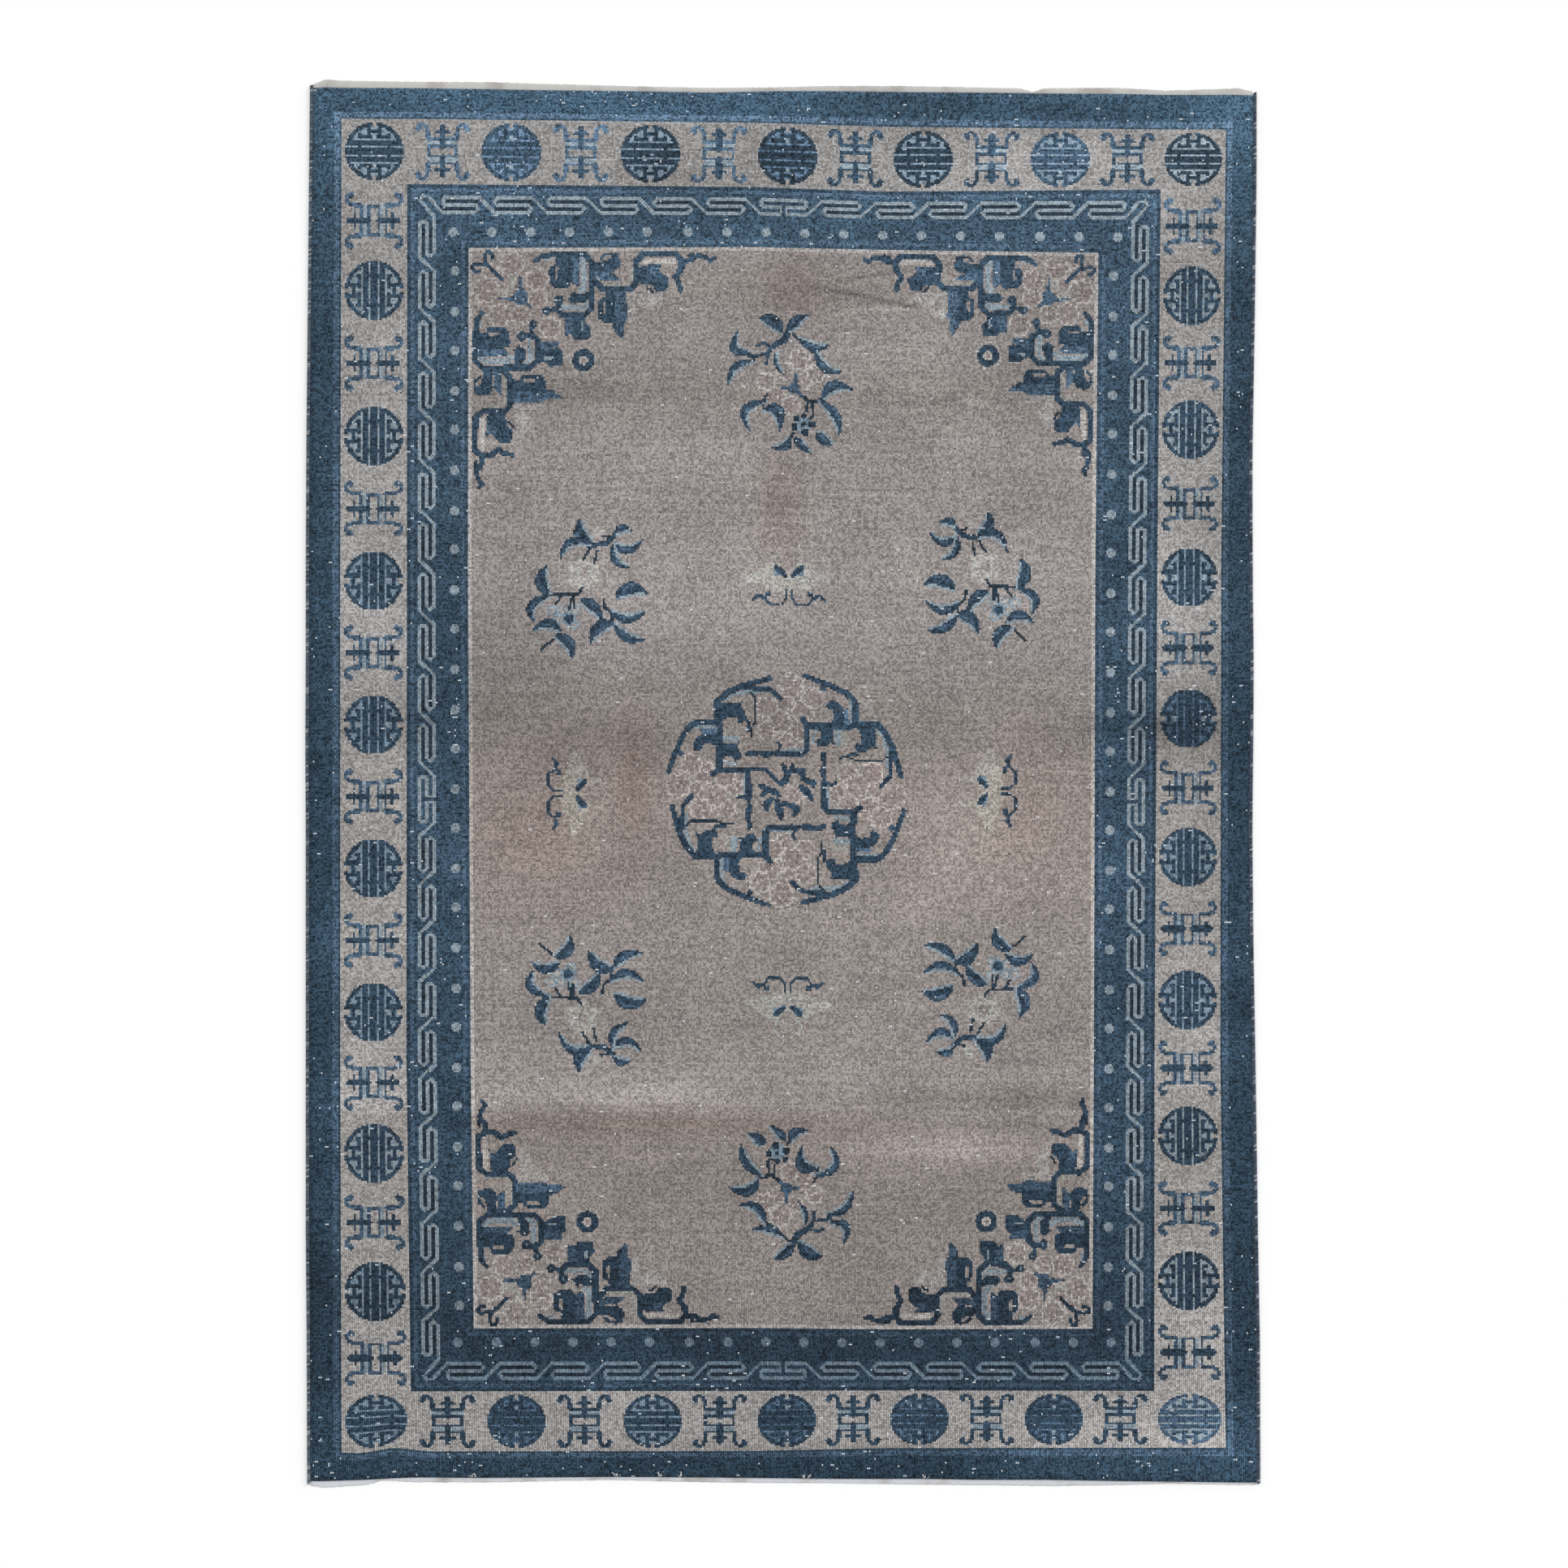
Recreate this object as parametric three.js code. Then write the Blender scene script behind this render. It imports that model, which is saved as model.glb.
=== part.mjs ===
// A hand-knotted wool pile rug with flat-woven end webs and overcast side cords, lying flat.
// Millimetres. The origin is on the floor under the rug's middle, +Y runs along it and +Z is up.

import * as THREE from 'three';

// Driving sizes
const pileThickness = 6; // worn pile with its knotted foundation
const webThickness = 2.5; // plain weave past the last row of knots
const pileSlope = 1; // how far the pile leans back from its foot to its face at each end
const cordWidth = 7.5;
const cordHeight = 7;
const cordSides = 8;
const clearance = 0.3; // between the rug and each cord along its side
const halfWidth = 1010; // the nominal half width that the end tables are read against

// How finely the sheet is divided, away from its ripples and over them
const sheetStep = 78;
const rippleStep = 19;

// The distance from the rug's long middle line to the outside of each side cord
const sides = [
  { along: -1495, left: 1014, right: 1018 },
  { along: -1185, left: 1015, right: 1017 },
  { along: -960, left: 1017, right: 1013 },
  { along: -613, left: 1017, right: 1008 },
  { along: -319, left: 1017, right: 1003 },
  { along: -94, left: 1017, right: 1001 },
  { along: 79, left: 1018, right: 1003 },
  { along: 252, left: 1017, right: 1004 },
  { along: 425, left: 1017, right: 1002 },
  { along: 684, left: 1016, right: 1001 },
  { along: 978, left: 1013, right: 1006 },
  { along: 1290, left: 1010, right: 1010 },
  { along: 1495, left: 1008, right: 1010 },
];

// How far out the last knots and the ragged web reach at each end, read across the rug
const topEnd = [
  { across: -1010, pile: 1483, web: 1491 },
  { across: -984, pile: 1484, web: 1501 },
  { across: -943, pile: 1483, web: 1498 },
  { across: -786, pile: 1482, web: 1496 },
  { across: -631, pile: 1480, web: 1495 },
  { across: -527, pile: 1478, web: 1492 },
  { across: -423, pile: 1477, web: 1489 },
  { across: -267, pile: 1475, web: 1485 },
  { across: -163, pile: 1473, web: 1483 },
  { across: -8, pile: 1476, web: 1484 },
  { across: 96, pile: 1476, web: 1487 },
  { across: 252, pile: 1474, web: 1487 },
  { across: 407, pile: 1473, web: 1484 },
  { across: 511, pile: 1472, web: 1482 },
  { across: 537, pile: 1471, web: 1474 },
  { across: 563, pile: 1471, web: 1482 },
  { across: 719, pile: 1470, web: 1483 },
  { across: 823, pile: 1468, web: 1477 },
  { across: 978, pile: 1468, web: 1482 },
  { across: 1010, pile: 1467, web: 1475 },
];
const bottomEnd = [
  { across: -1010, pile: 1487, web: 1496 },
  { across: -984, pile: 1487, web: 1501 },
  { across: -890, pile: 1484, web: 1495 },
  { across: -856, pile: 1482, web: 1485 },
  { across: -786, pile: 1479, web: 1489 },
  { across: -631, pile: 1480, web: 1489 },
  { across: -371, pile: 1478, web: 1484 },
  { across: -163, pile: 1479, web: 1489 },
  { across: 96, pile: 1482, web: 1491 },
  { across: 304, pile: 1482, web: 1494 },
  { across: 407, pile: 1484, web: 1495 },
  { across: 563, pile: 1484, web: 1497 },
  { across: 719, pile: 1487, web: 1495 },
  { across: 823, pile: 1488, web: 1492 },
  { across: 978, pile: 1490, web: 1495 },
  { across: 1010, pile: 1490, web: 1494 },
];

// The soft ripples where the rug stands a little off the floor, each along a straight crest
const ripples = [
  { x: 338, y: 1060, toX: 667, toY: 996, width: 58, height: 5.5 },
  { x: 131, y: 1082, toX: 390, toY: 996, width: 58, height: 5 },
  { x: 421, y: 847, toX: 584, toY: 819, width: 50, height: 3.5 },
  { x: -129, y: 632, toX: 494, toY: 563, width: 100, height: 4 },
  { x: -648, y: 200, toX: -285, toY: 304, width: 100, height: 4.5 },
];
const rippleEnd = 0.35; // the share of a ripple's length over which each end dies out

const smooth = (t) => {
  const held = Math.min(1, Math.max(0, t));
  return held * held * (3 - 2 * held);
};

// Reads one column of a table at a place between its rows
function read(table, key, place, column) {
  const after = table.findIndex((row) => row[key] >= place);
  if (after === 0) return table[0][column];
  if (after < 0) return table[table.length - 1][column];
  const [low, high] = [table[after - 1], table[after]];
  const share = (place - low[key]) / (high[key] - low[key]);
  return low[column] + (high[column] - low[column]) * share;
}

// How far a ripple lifts the sheet at a point: nothing at all beyond its width and its ends
function rippleLift(ripple, x, y) {
  const run = new THREE.Vector2(ripple.toX - ripple.x, ripple.toY - ripple.y);
  const from = new THREE.Vector2(x - ripple.x, y - ripple.y);
  const along = from.dot(run) / run.lengthSq();
  const aside = Math.abs(from.cross(run)) / run.length();
  if (aside >= ripple.width / 2 || along <= 0 || along >= 1) return 0;
  const crest = Math.cos((Math.PI * aside) / ripple.width) ** 2;
  return ripple.height * crest * smooth(along / rippleEnd) * smooth((1 - along) / rippleEnd);
}

const lift = (x, y) => ripples.reduce((most, ripple) => Math.max(most, rippleLift(ripple, x, y)), 0);

// The given places in order, with more between them wherever the room is wider than the step there
function divided(places, stepAt) {
  const sorted = [...new Set(places)].sort((a, b) => a - b);
  const all = [sorted[0]];
  for (const place of sorted.slice(1)) {
    const from = all[all.length - 1];
    const parts = Math.max(1, Math.round((place - from) / stepAt((place + from) / 2)));
    for (let part = 1; part <= parts; part += 1) all.push(from + ((place - from) * part) / parts);
  }
  return all;
}

// The columns meet every point of the end tables, and the rows crowd together over the ripples
const columns = divided([...topEnd, ...bottomEnd].map((row) => row.across), () => sheetStep);
const bands = ripples.map(({ y, toY, width }) => [
  Math.min(y, toY) - width / 2,
  Math.max(y, toY) + width / 2,
]);
const inBand = (y) => bands.some(([low, high]) => y > low && y < high);
const pileReach = 1466; // the inner rows stop here, short of both pile ends
const bends = sides.slice(1, -1).map((row) => row.along); // where either side changes direction
const innerRows = divided([-pileReach, ...bands.flat(), ...bends, pileReach], (y) =>
  inBand(y) ? rippleStep : sheetStep,
);

// Each end has three lines that follow its table: the web's edge, the pile's foot and the pile's face
const endLines = [
  { column: 'web', back: 0, top: webThickness },
  { column: 'pile', back: 0, top: webThickness },
  { column: 'pile', back: pileSlope, top: pileThickness },
];
const endRow = (table, way) => ({ column, back, top }) => ({
  top,
  y: (across) => way * (read(table, 'across', across, column) - back),
});
const rows = [
  ...endLines.map(endRow(bottomEnd, -1)),
  ...innerRows.slice(1, -1).map((y) => ({ top: pileThickness, y: () => y })),
  ...endLines.map(endRow(topEnd, 1)).reverse(),
];

// One sheet: a box of columns by rows, moved to its outline, its two heights and its ripples
function rugGeometry() {
  const [nx, ny] = [columns.length - 1, rows.length - 1];
  const geometry = new THREE.BoxGeometry(nx, ny, 1, nx, ny, 1);
  const points = geometry.attributes.position;
  for (let i = 0; i < points.count; i += 1) {
    const across = columns[Math.round(points.getX(i) + nx / 2)];
    const row = rows[Math.round(points.getY(i) + ny / 2)];
    const y = row.y(across);
    const side = read(sides, 'along', y, across < 0 ? 'left' : 'right');
    const x = (across / halfWidth) * (side - cordWidth - clearance);
    points.setXYZ(i, x, y, lift(x, y) + (points.getZ(i) > 0 ? row.top : 0));
  }
  return geometry;
}

// A side cord: warps wrapped round and round with yarn, with a flat below where it lies
function cordGeometry(column, way, from, to) {
  const places = divided([from, ...bends, to], () => 2 * sheetStep);
  const steps = places.length - 1;
  const radius = 1 / Math.cos(Math.PI / cordSides);
  const turn = Math.PI / cordSides;
  const geometry = new THREE.CylinderGeometry(radius, radius, steps, cordSides, steps, false, turn);
  const points = geometry.attributes.position;
  for (let i = 0; i < points.count; i += 1) {
    const y = places[Math.round(points.getY(i) + steps / 2)];
    const middle = way * (read(sides, 'along', y, column) - cordWidth / 2);
    const x = middle + (points.getX(i) * cordWidth) / 2;
    points.setXYZ(i, x, y, ((points.getZ(i) + 1) * cordHeight) / 2);
  }
  return geometry;
}

function piece(name, geometry, color, roughness) {
  geometry.deleteAttribute('uv');
  geometry.computeVertexNormals();
  const mesh = new THREE.Mesh(geometry, new THREE.MeshStandardMaterial({ color, roughness, metalness: 0 }));
  mesh.name = name;
  return mesh;
}

const cords = [
  { name: 'selvedge_left', column: 'left', way: -1, from: -1493, to: 1489, color: 0x50687c },
  { name: 'selvedge_right', column: 'right', way: 1, from: -1492, to: 1473, color: 0x8b8f93 },
];

const rug = new THREE.Group();
rug.add(piece('rug_body', rugGeometry(), 0x958a82, 0.95));
for (const { name, column, way, from, to, color } of cords) {
  rug.add(piece(name, cordGeometry(column, way, from, to), color, 0.9));
}

export default rug;
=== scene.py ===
"""A hand-knotted wool rug lying flat: its patterned pile, woven ends, overcast sides and loose warps."""

import math

import bpy
import numpy as np
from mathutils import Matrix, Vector
from mathutils.bvhtree import BVHTree


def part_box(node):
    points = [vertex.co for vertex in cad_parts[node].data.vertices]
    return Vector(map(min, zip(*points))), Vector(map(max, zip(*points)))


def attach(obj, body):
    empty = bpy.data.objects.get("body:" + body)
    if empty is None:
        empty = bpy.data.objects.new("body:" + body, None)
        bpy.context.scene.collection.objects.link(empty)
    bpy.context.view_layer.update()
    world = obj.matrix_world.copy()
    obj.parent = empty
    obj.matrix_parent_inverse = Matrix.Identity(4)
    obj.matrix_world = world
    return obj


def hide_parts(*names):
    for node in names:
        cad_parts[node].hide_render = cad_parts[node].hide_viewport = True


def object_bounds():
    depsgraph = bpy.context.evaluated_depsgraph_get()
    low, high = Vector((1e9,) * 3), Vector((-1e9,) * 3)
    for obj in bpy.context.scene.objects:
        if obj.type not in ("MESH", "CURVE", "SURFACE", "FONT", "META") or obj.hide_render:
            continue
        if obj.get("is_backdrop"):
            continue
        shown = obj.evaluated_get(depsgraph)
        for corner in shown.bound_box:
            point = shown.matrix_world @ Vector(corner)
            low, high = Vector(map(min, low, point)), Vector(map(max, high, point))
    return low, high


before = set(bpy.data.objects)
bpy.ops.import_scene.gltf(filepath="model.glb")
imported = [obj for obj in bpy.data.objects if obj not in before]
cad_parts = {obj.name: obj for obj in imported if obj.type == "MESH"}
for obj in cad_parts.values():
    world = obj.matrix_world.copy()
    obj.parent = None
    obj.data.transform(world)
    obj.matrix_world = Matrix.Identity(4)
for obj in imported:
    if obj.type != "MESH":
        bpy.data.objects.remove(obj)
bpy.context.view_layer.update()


# THE PATTERN
# The weaver ties one knot of dyed wool after another, row by row, from a chart on squared paper. This is
# that chart: each ornament is drawn by its own rule, in knots, and a number stands for each yarn.

KNOTS_ACROSS = 512
KNOT_ROWS = 760
NOMINAL_TOP = 758  # the border's corners are square to this row; two more rows of plain blue follow it

YARNS = {  # sRGB colours of the dyed wool, worn
    "field": (142, 136, 134),
    "sand": (154, 152, 151),
    "navy": (50, 68, 84),
    "ink": (40, 54, 66),
    "blue": (82, 103, 124),
    "mist": (116, 134, 149),
    "ivory": (155, 154, 150),
    "blush": (171, 167, 165),
    "rose": (138, 129, 128),
    "outer": (50, 70, 86),
    "inner": (57, 77, 94),
    "lining": (70, 90, 109),
    "pearl": (132, 145, 154),
    "straw": (145, 144, 141),
}
YARN_NUMBERS = {name: number for number, name in enumerate(YARNS)}

chart = np.full((KNOT_ROWS, KNOTS_ACROSS), YARN_NUMBERS["outer"], np.uint8)


def placed(col, row, quarter_turns=0, mirror=1, wide=1.0, long=1.0, lying=False):
    """Turns a point of an ornament's drawing into a place on the chart. Lying, its two axes are swapped."""
    cos, sin = [(1, 0), (0, 1), (-1, 0), (0, -1)][quarter_turns]

    def put(point):
        x, y = reversed(point) if lying else point
        x *= mirror
        return col + wide * (x * cos - y * sin), row + long * (x * sin + y * cos)

    return put


def chart_window(points, margin):
    """The part of the chart round some points, as slices, and the middles of its knots."""
    low = np.maximum(np.floor(points.min(0) - margin), 0).astype(int)
    high = np.minimum(np.ceil(points.max(0) + margin), (KNOTS_ACROSS, KNOT_ROWS)).astype(int)
    cols, rows = np.meshgrid(np.arange(low[0], high[0]) + 0.5, np.arange(low[1], high[1]) + 0.5)
    return (slice(low[1], high[1]), slice(low[0], high[0])), cols, rows


def brush(path, width, yarn, put=placed(0, 0)):
    """Knots a line. Several widths are spread evenly over its points, and a single point gives a disc."""
    points = np.array([put(point) for point in path], float)
    given = np.atleast_1d(width)
    widths = np.interp(np.linspace(0, 1, len(points)), np.linspace(0, 1, len(given)), given)
    if len(points) == 1:
        points, widths = np.repeat(points, 2, 0), np.repeat(widths, 2)
    window, cols, rows = chart_window(points, widths.max())
    inside = np.zeros(cols.shape, bool)
    for start, end, at_start, at_end in zip(points, points[1:], widths, widths[1:]):
        run = end - start
        square = run @ run or 1
        along = np.clip(((cols - start[0]) * run[0] + (rows - start[1]) * run[1]) / square, 0, 1)
        aside = np.hypot(cols - start[0] - along * run[0], rows - start[1] - along * run[1])
        inside |= aside <= (at_start + (at_end - at_start) * along) / 2
    chart[window][inside] = YARN_NUMBERS[yarn]


def patch(outline, yarn, put=placed(0, 0)):
    """Knots a closed shape, given the corners of its outline."""
    points = np.array([put(point) for point in outline], float)
    window, cols, rows = chart_window(points, 0)
    inside = np.zeros(cols.shape, bool)
    for start, end in zip(points, np.roll(points, -1, 0)):
        crosses = (start[1] > rows) != (end[1] > rows)
        slope = (end[0] - start[0]) / ((end[1] - start[1]) or 1)
        inside ^= crosses & (cols < start[0] + slope * (rows - start[1]))
    chart[window][inside] = YARN_NUMBERS[yarn]


def block(x0, y0, x1, y1, yarn, put):
    """Knots a straight bar from one corner to the other."""
    patch([(x0, y0), (x1, y0), (x1, y1), (x0, y1)], yarn, put)


# THE BANDS
# A wide blue band runs all round the outside, then a sand one with the round and the upright ornaments,
# then a second blue one with the meander and the dots. Each has a line or two of another blue at its edge.

SAND_FROM, SAND_TO, FIELD_FROM = 16, 52, 86
BANDS = [  # each yarn, and how many knots in from the edge it starts
    ("lining", SAND_FROM - 4), ("outer", SAND_FROM - 1), ("sand", SAND_FROM), ("navy", SAND_TO),
    ("lining", SAND_TO + 2), ("inner", SAND_TO + 4), ("lining", FIELD_FROM - 4), ("inner", FIELD_FROM - 2),
    ("blush", FIELD_FROM), ("field", FIELD_FROM + 2),
]
for yarn, depth in BANDS:
    chart[depth:NOMINAL_TOP - depth, depth:KNOTS_ACROSS - depth] = YARN_NUMBERS[yarn]


# THE DOTS AND THE MEANDER
# The inner blue band carries a row of pale dots, and a thin pale line that doubles back on itself in long
# flat links. It sets out from a hairpin in each corner, and two halves meet at the middle of every side.

DOT_DEPTH = 26  # from the sand band
DOT_WIDTH = 4.9
DOT_COLS = [round(77 + 21.1 * number) + 0.5 for number in range(18)]
DOT_ROWS = [round(97.78 + 21.58 * number) + 0.5 for number in range(27)]
for row, yarn in ((SAND_TO + DOT_DEPTH, "mist"), (NOMINAL_TOP - SAND_TO - DOT_DEPTH, "pearl")):
    for col in DOT_COLS:
        brush([(col, row + 0.5)], DOT_WIDTH, yarn)
for col in (SAND_TO + DOT_DEPTH, KNOTS_ACROSS - SAND_TO - DOT_DEPTH):
    for row in DOT_ROWS:
        brush([(col + 0.5, row)], DOT_WIDTH, "pearl")

LINE_WIDTH = 1.7
LINE_DEPTHS = (6.8, 10.8, 15.0)
HAIRPIN = [(19.2, 15), (11.9, 6.5), (8.6, 6.3), (6.9, 8.4), (15.3, 17.5), (15.1, 19.6)]
FIRST_LINK = 19.2
LAST_LINK = 12.8  # the half link at the middle of a side
LINK_LENGTH = 29  # as drawn, before it is fitted to its side
LINKS_ACROSS, LINKS_ALONG = 6, 11
GROUND_WIDTH = 2.4  # the darkest yarn lies between a link's lines


def meander(put, half, links, yarn="pearl"):
    """One half of a side, from its corner. The drawing runs along the side and in from the sand band."""
    top, middle, bottom = LINE_DEPTHS
    link = [(0, bottom), (18.3, bottom), (20.5, 12.9), (18.7, middle), (1.5, middle), (0.2, 8.9), (2, top),
            (20.9, top), (LINK_LENGTH, bottom)]
    pitch = (half - FIRST_LINK - LAST_LINK) / links
    part = pitch / LINK_LENGTH
    for number in range(links):
        at = FIRST_LINK + number * pitch
        for depth in ((top + middle) / 2, (middle + bottom) / 2):
            brush([(at + 1.5 * part, depth), (at + 19.4 * part, depth)], GROUND_WIDTH, "ink", put)
        brush([(at + x * part, depth) for x, depth in link], LINE_WIDTH, yarn, put)
    at = half - LAST_LINK
    end = half - 1.4
    brush([(at, bottom), (end, bottom), (end, middle), (at + 1.5, middle), (at + 0.2, 8.9), (at + 2, top),
           (half, top)], LINE_WIDTH, yarn, put)


MIDDLE_ROW = 373  # the side meanders meet a little below the rug's middle
top_edge = NOMINAL_TOP - SAND_TO
for edge, mirror in ((SAND_TO, 1), (KNOTS_ACROSS - SAND_TO, -1)):
    for row, way, half, yarn in ((top_edge, -1, top_edge - MIDDLE_ROW, "pearl"),
                                 (SAND_TO, 1, MIDDLE_ROW - SAND_TO, "mist")):
        across = placed(edge, row, wide=mirror, long=way)
        brush(HAIRPIN, LINE_WIDTH, yarn, across)
        meander(across, KNOTS_ACROSS / 2 - SAND_TO, LINKS_ACROSS, yarn)
        meander(placed(edge, row, wide=mirror, long=way, lying=True), half, LINKS_ALONG)


# THE ROUND AND THE LONG ORNAMENTS
# Two old signs for long life take turns along the sand band, a round one and an upright one. Each was
# charted from straight bars, as a weaver counts it, and in the side borders they lie down.


def roundel(put, light, dark):
    """A broken ring, 32 knots wide, with three bars across and two hooked uprights above and below."""
    brush([(0, 0)], 32, dark, put)
    brush([(0, 0)], 27.4, light, put)
    for up in (1, -1):
        block(-1.2, up * 17, 1.2, up * 12.6, "sand", put)
        block(-9, up * 6.6, 9, up * 9, dark, put)
        for side in (1, -1):
            block(side * 2, up * 6.6, side * 4.2, up * 14, dark, put)
            block(side * 9, up * 9, side * 6.6, up * 9.8, dark, put)
        block(-4, up * 9.9, 4, up * 12.2, dark, put)
        block(-1.3, up * 6.6, 1.3, up * 9.4, "pearl", put)
        block(-14.6, up * 2.9, 14.6, up * 5.6, dark, put)
        block(-15.6, up * 1.7, 15.6, up * 2.7, light, put)
        block(-13.4, up * 5.7, 13.4, up * 6.5, light, put)
    block(-15.8, -1.7, 15.8, 1.7, dark, put)
    for side in (1, -1):
        block(side * 6.7, -3, side * 8.6, 3, dark, put)


def long_ornament(put, yarn):
    """An upright stem with two small crossbars, a box at its waist and four arms that curl outwards."""
    block(-8.3, -5.5, 8.3, 6, "pearl", put)
    block(-8.5, -3.3, 8.5, 3.8, yarn, put)
    block(-6.6, -1.6, 6.6, 2.1, "sand", put)
    for up, bar, cross in ((1, 6.9, 10.7), (-1, 6.5, 10.1)):
        brush([(-8, up * bar), (8, up * bar)], 1.9, yarn, put)
        brush([(-3.6, up * cross), (3.6, up * cross)], 1.6, "navy", put)
        for side in (1, -1):
            arm = [(8, bar), (8, 11), (9.2, 14.2), (11.6, 15.3), (13.7, 13.9)]
            brush([(side * x, up * y) for x, y in arm], 2.1, yarn, put)
            brush([(side * 13.4, up * 12.8)], 3.4, yarn, put)
    brush([(0, 13.4), (0, 3)], 3.2, "navy", put)
    brush([(0, -3), (0, -12.6)], 3.2, "navy", put)


ROUND_COLS = (34, 109, 184, 258, 331, 405, 478)
TOP_ROW, BOTTOM_ROW = 724, 34
ACROSS = [  # the row of each end, and the yarns of its discs, its signs and its long ornaments
    (TOP_ROW, ("mist", "blue", "mist", "blue", "mist", "mist", "pearl"),
     ("ink", "navy", "ink", "ink", "ink", "navy", "ink"), ["lining"] * 3 + ["navy"] * 3),
    (BOTTOM_ROW, ("mist", "blue", "mist", "blue", "blue", "blue", "pearl"),
     ("navy", "navy", "navy", "navy", "navy", "navy", "lining"), ["navy"] * 6),
]
ALONG = [  # the column of each side, its rows from the top, and the yarns of its discs
    (ROUND_COLS[0], (TOP_ROW, 649, 570, 491.5, 413.5, 335.5, 257.5, 181, 106, BOTTOM_ROW),
     ("pearl", "pearl", "mist", "mist", "mist", "mist", "pearl", "mist")),
    (ROUND_COLS[-1], (TOP_ROW, 649, 576, 495.5, 418.5, 343, 265, 191, 112, BOTTOM_ROW),
     ("pearl", "pearl", "mist", "blue", "mist", "mist", "pearl", "pearl")),
]
for row, lights, darks, stems in ACROSS:
    for col, light, dark in zip(ROUND_COLS, lights, darks):
        roundel(placed(col, row), light, dark)
    for col, following, yarn in zip(ROUND_COLS, ROUND_COLS[1:], stems):
        long_ornament(placed((col + following) / 2, row), yarn)
for col, centres, lights in ALONG:
    for row, light in zip(centres[1:-1], lights):
        roundel(placed(col, row, 1), light, "navy")
    for row, following in zip(centres, centres[1:]):
        long_ornament(placed(col, (row + following) / 2, 1), "lining")


# THE CORNER PIECES
# Each corner of the field has a stepped fret with broad leaves, drawn for one side of the diagonal and
# knotted on both, and faint peonies behind it. The weaver turns the same drawing into all four corners.

LOBES = 7
LOBE_REACH, LOBE_WIDTH, HEART_WIDTH = 0.66, 0.78, 1.26  # shares of a peony's radius
RIM_WIDTH = 2  # of both sides of the rim together, in knots


def blooms(places, put):
    """Knots peonies one over another: round lobes with a paler rim, and a few pale knots in the heart."""
    for x, y, radius in places:
        reach = LOBE_REACH * radius
        turns = [2 * math.pi * (turn + x % 1) / LOBES for turn in range(LOBES)]
        lobes = [(x + reach * math.cos(turn), y + reach * math.sin(turn)) for turn in turns]
        for yarn, width in (("blush", LOBE_WIDTH * radius), ("rose", LOBE_WIDTH * radius - RIM_WIDTH)):
            for lobe in lobes:
                brush([lobe], width, yarn, put)
        brush([(x, y)], HEART_WIDTH * radius, "rose", put)
        for lobe_x, lobe_y in lobes[::4]:
            brush([(0.6 * x + 0.4 * lobe_x, 0.6 * y + 0.4 * lobe_y)], 1.5, "blush", put)


def draw(strokes, put):
    """Knots lines of a yarn and a width, each along a path or several. Closed patches have no width."""
    for yarn, width, *paths in strokes:
        for path in paths:
            if width:
                brush(path, width, yarn, put)
            else:
                patch(path, yarn, put)


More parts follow.
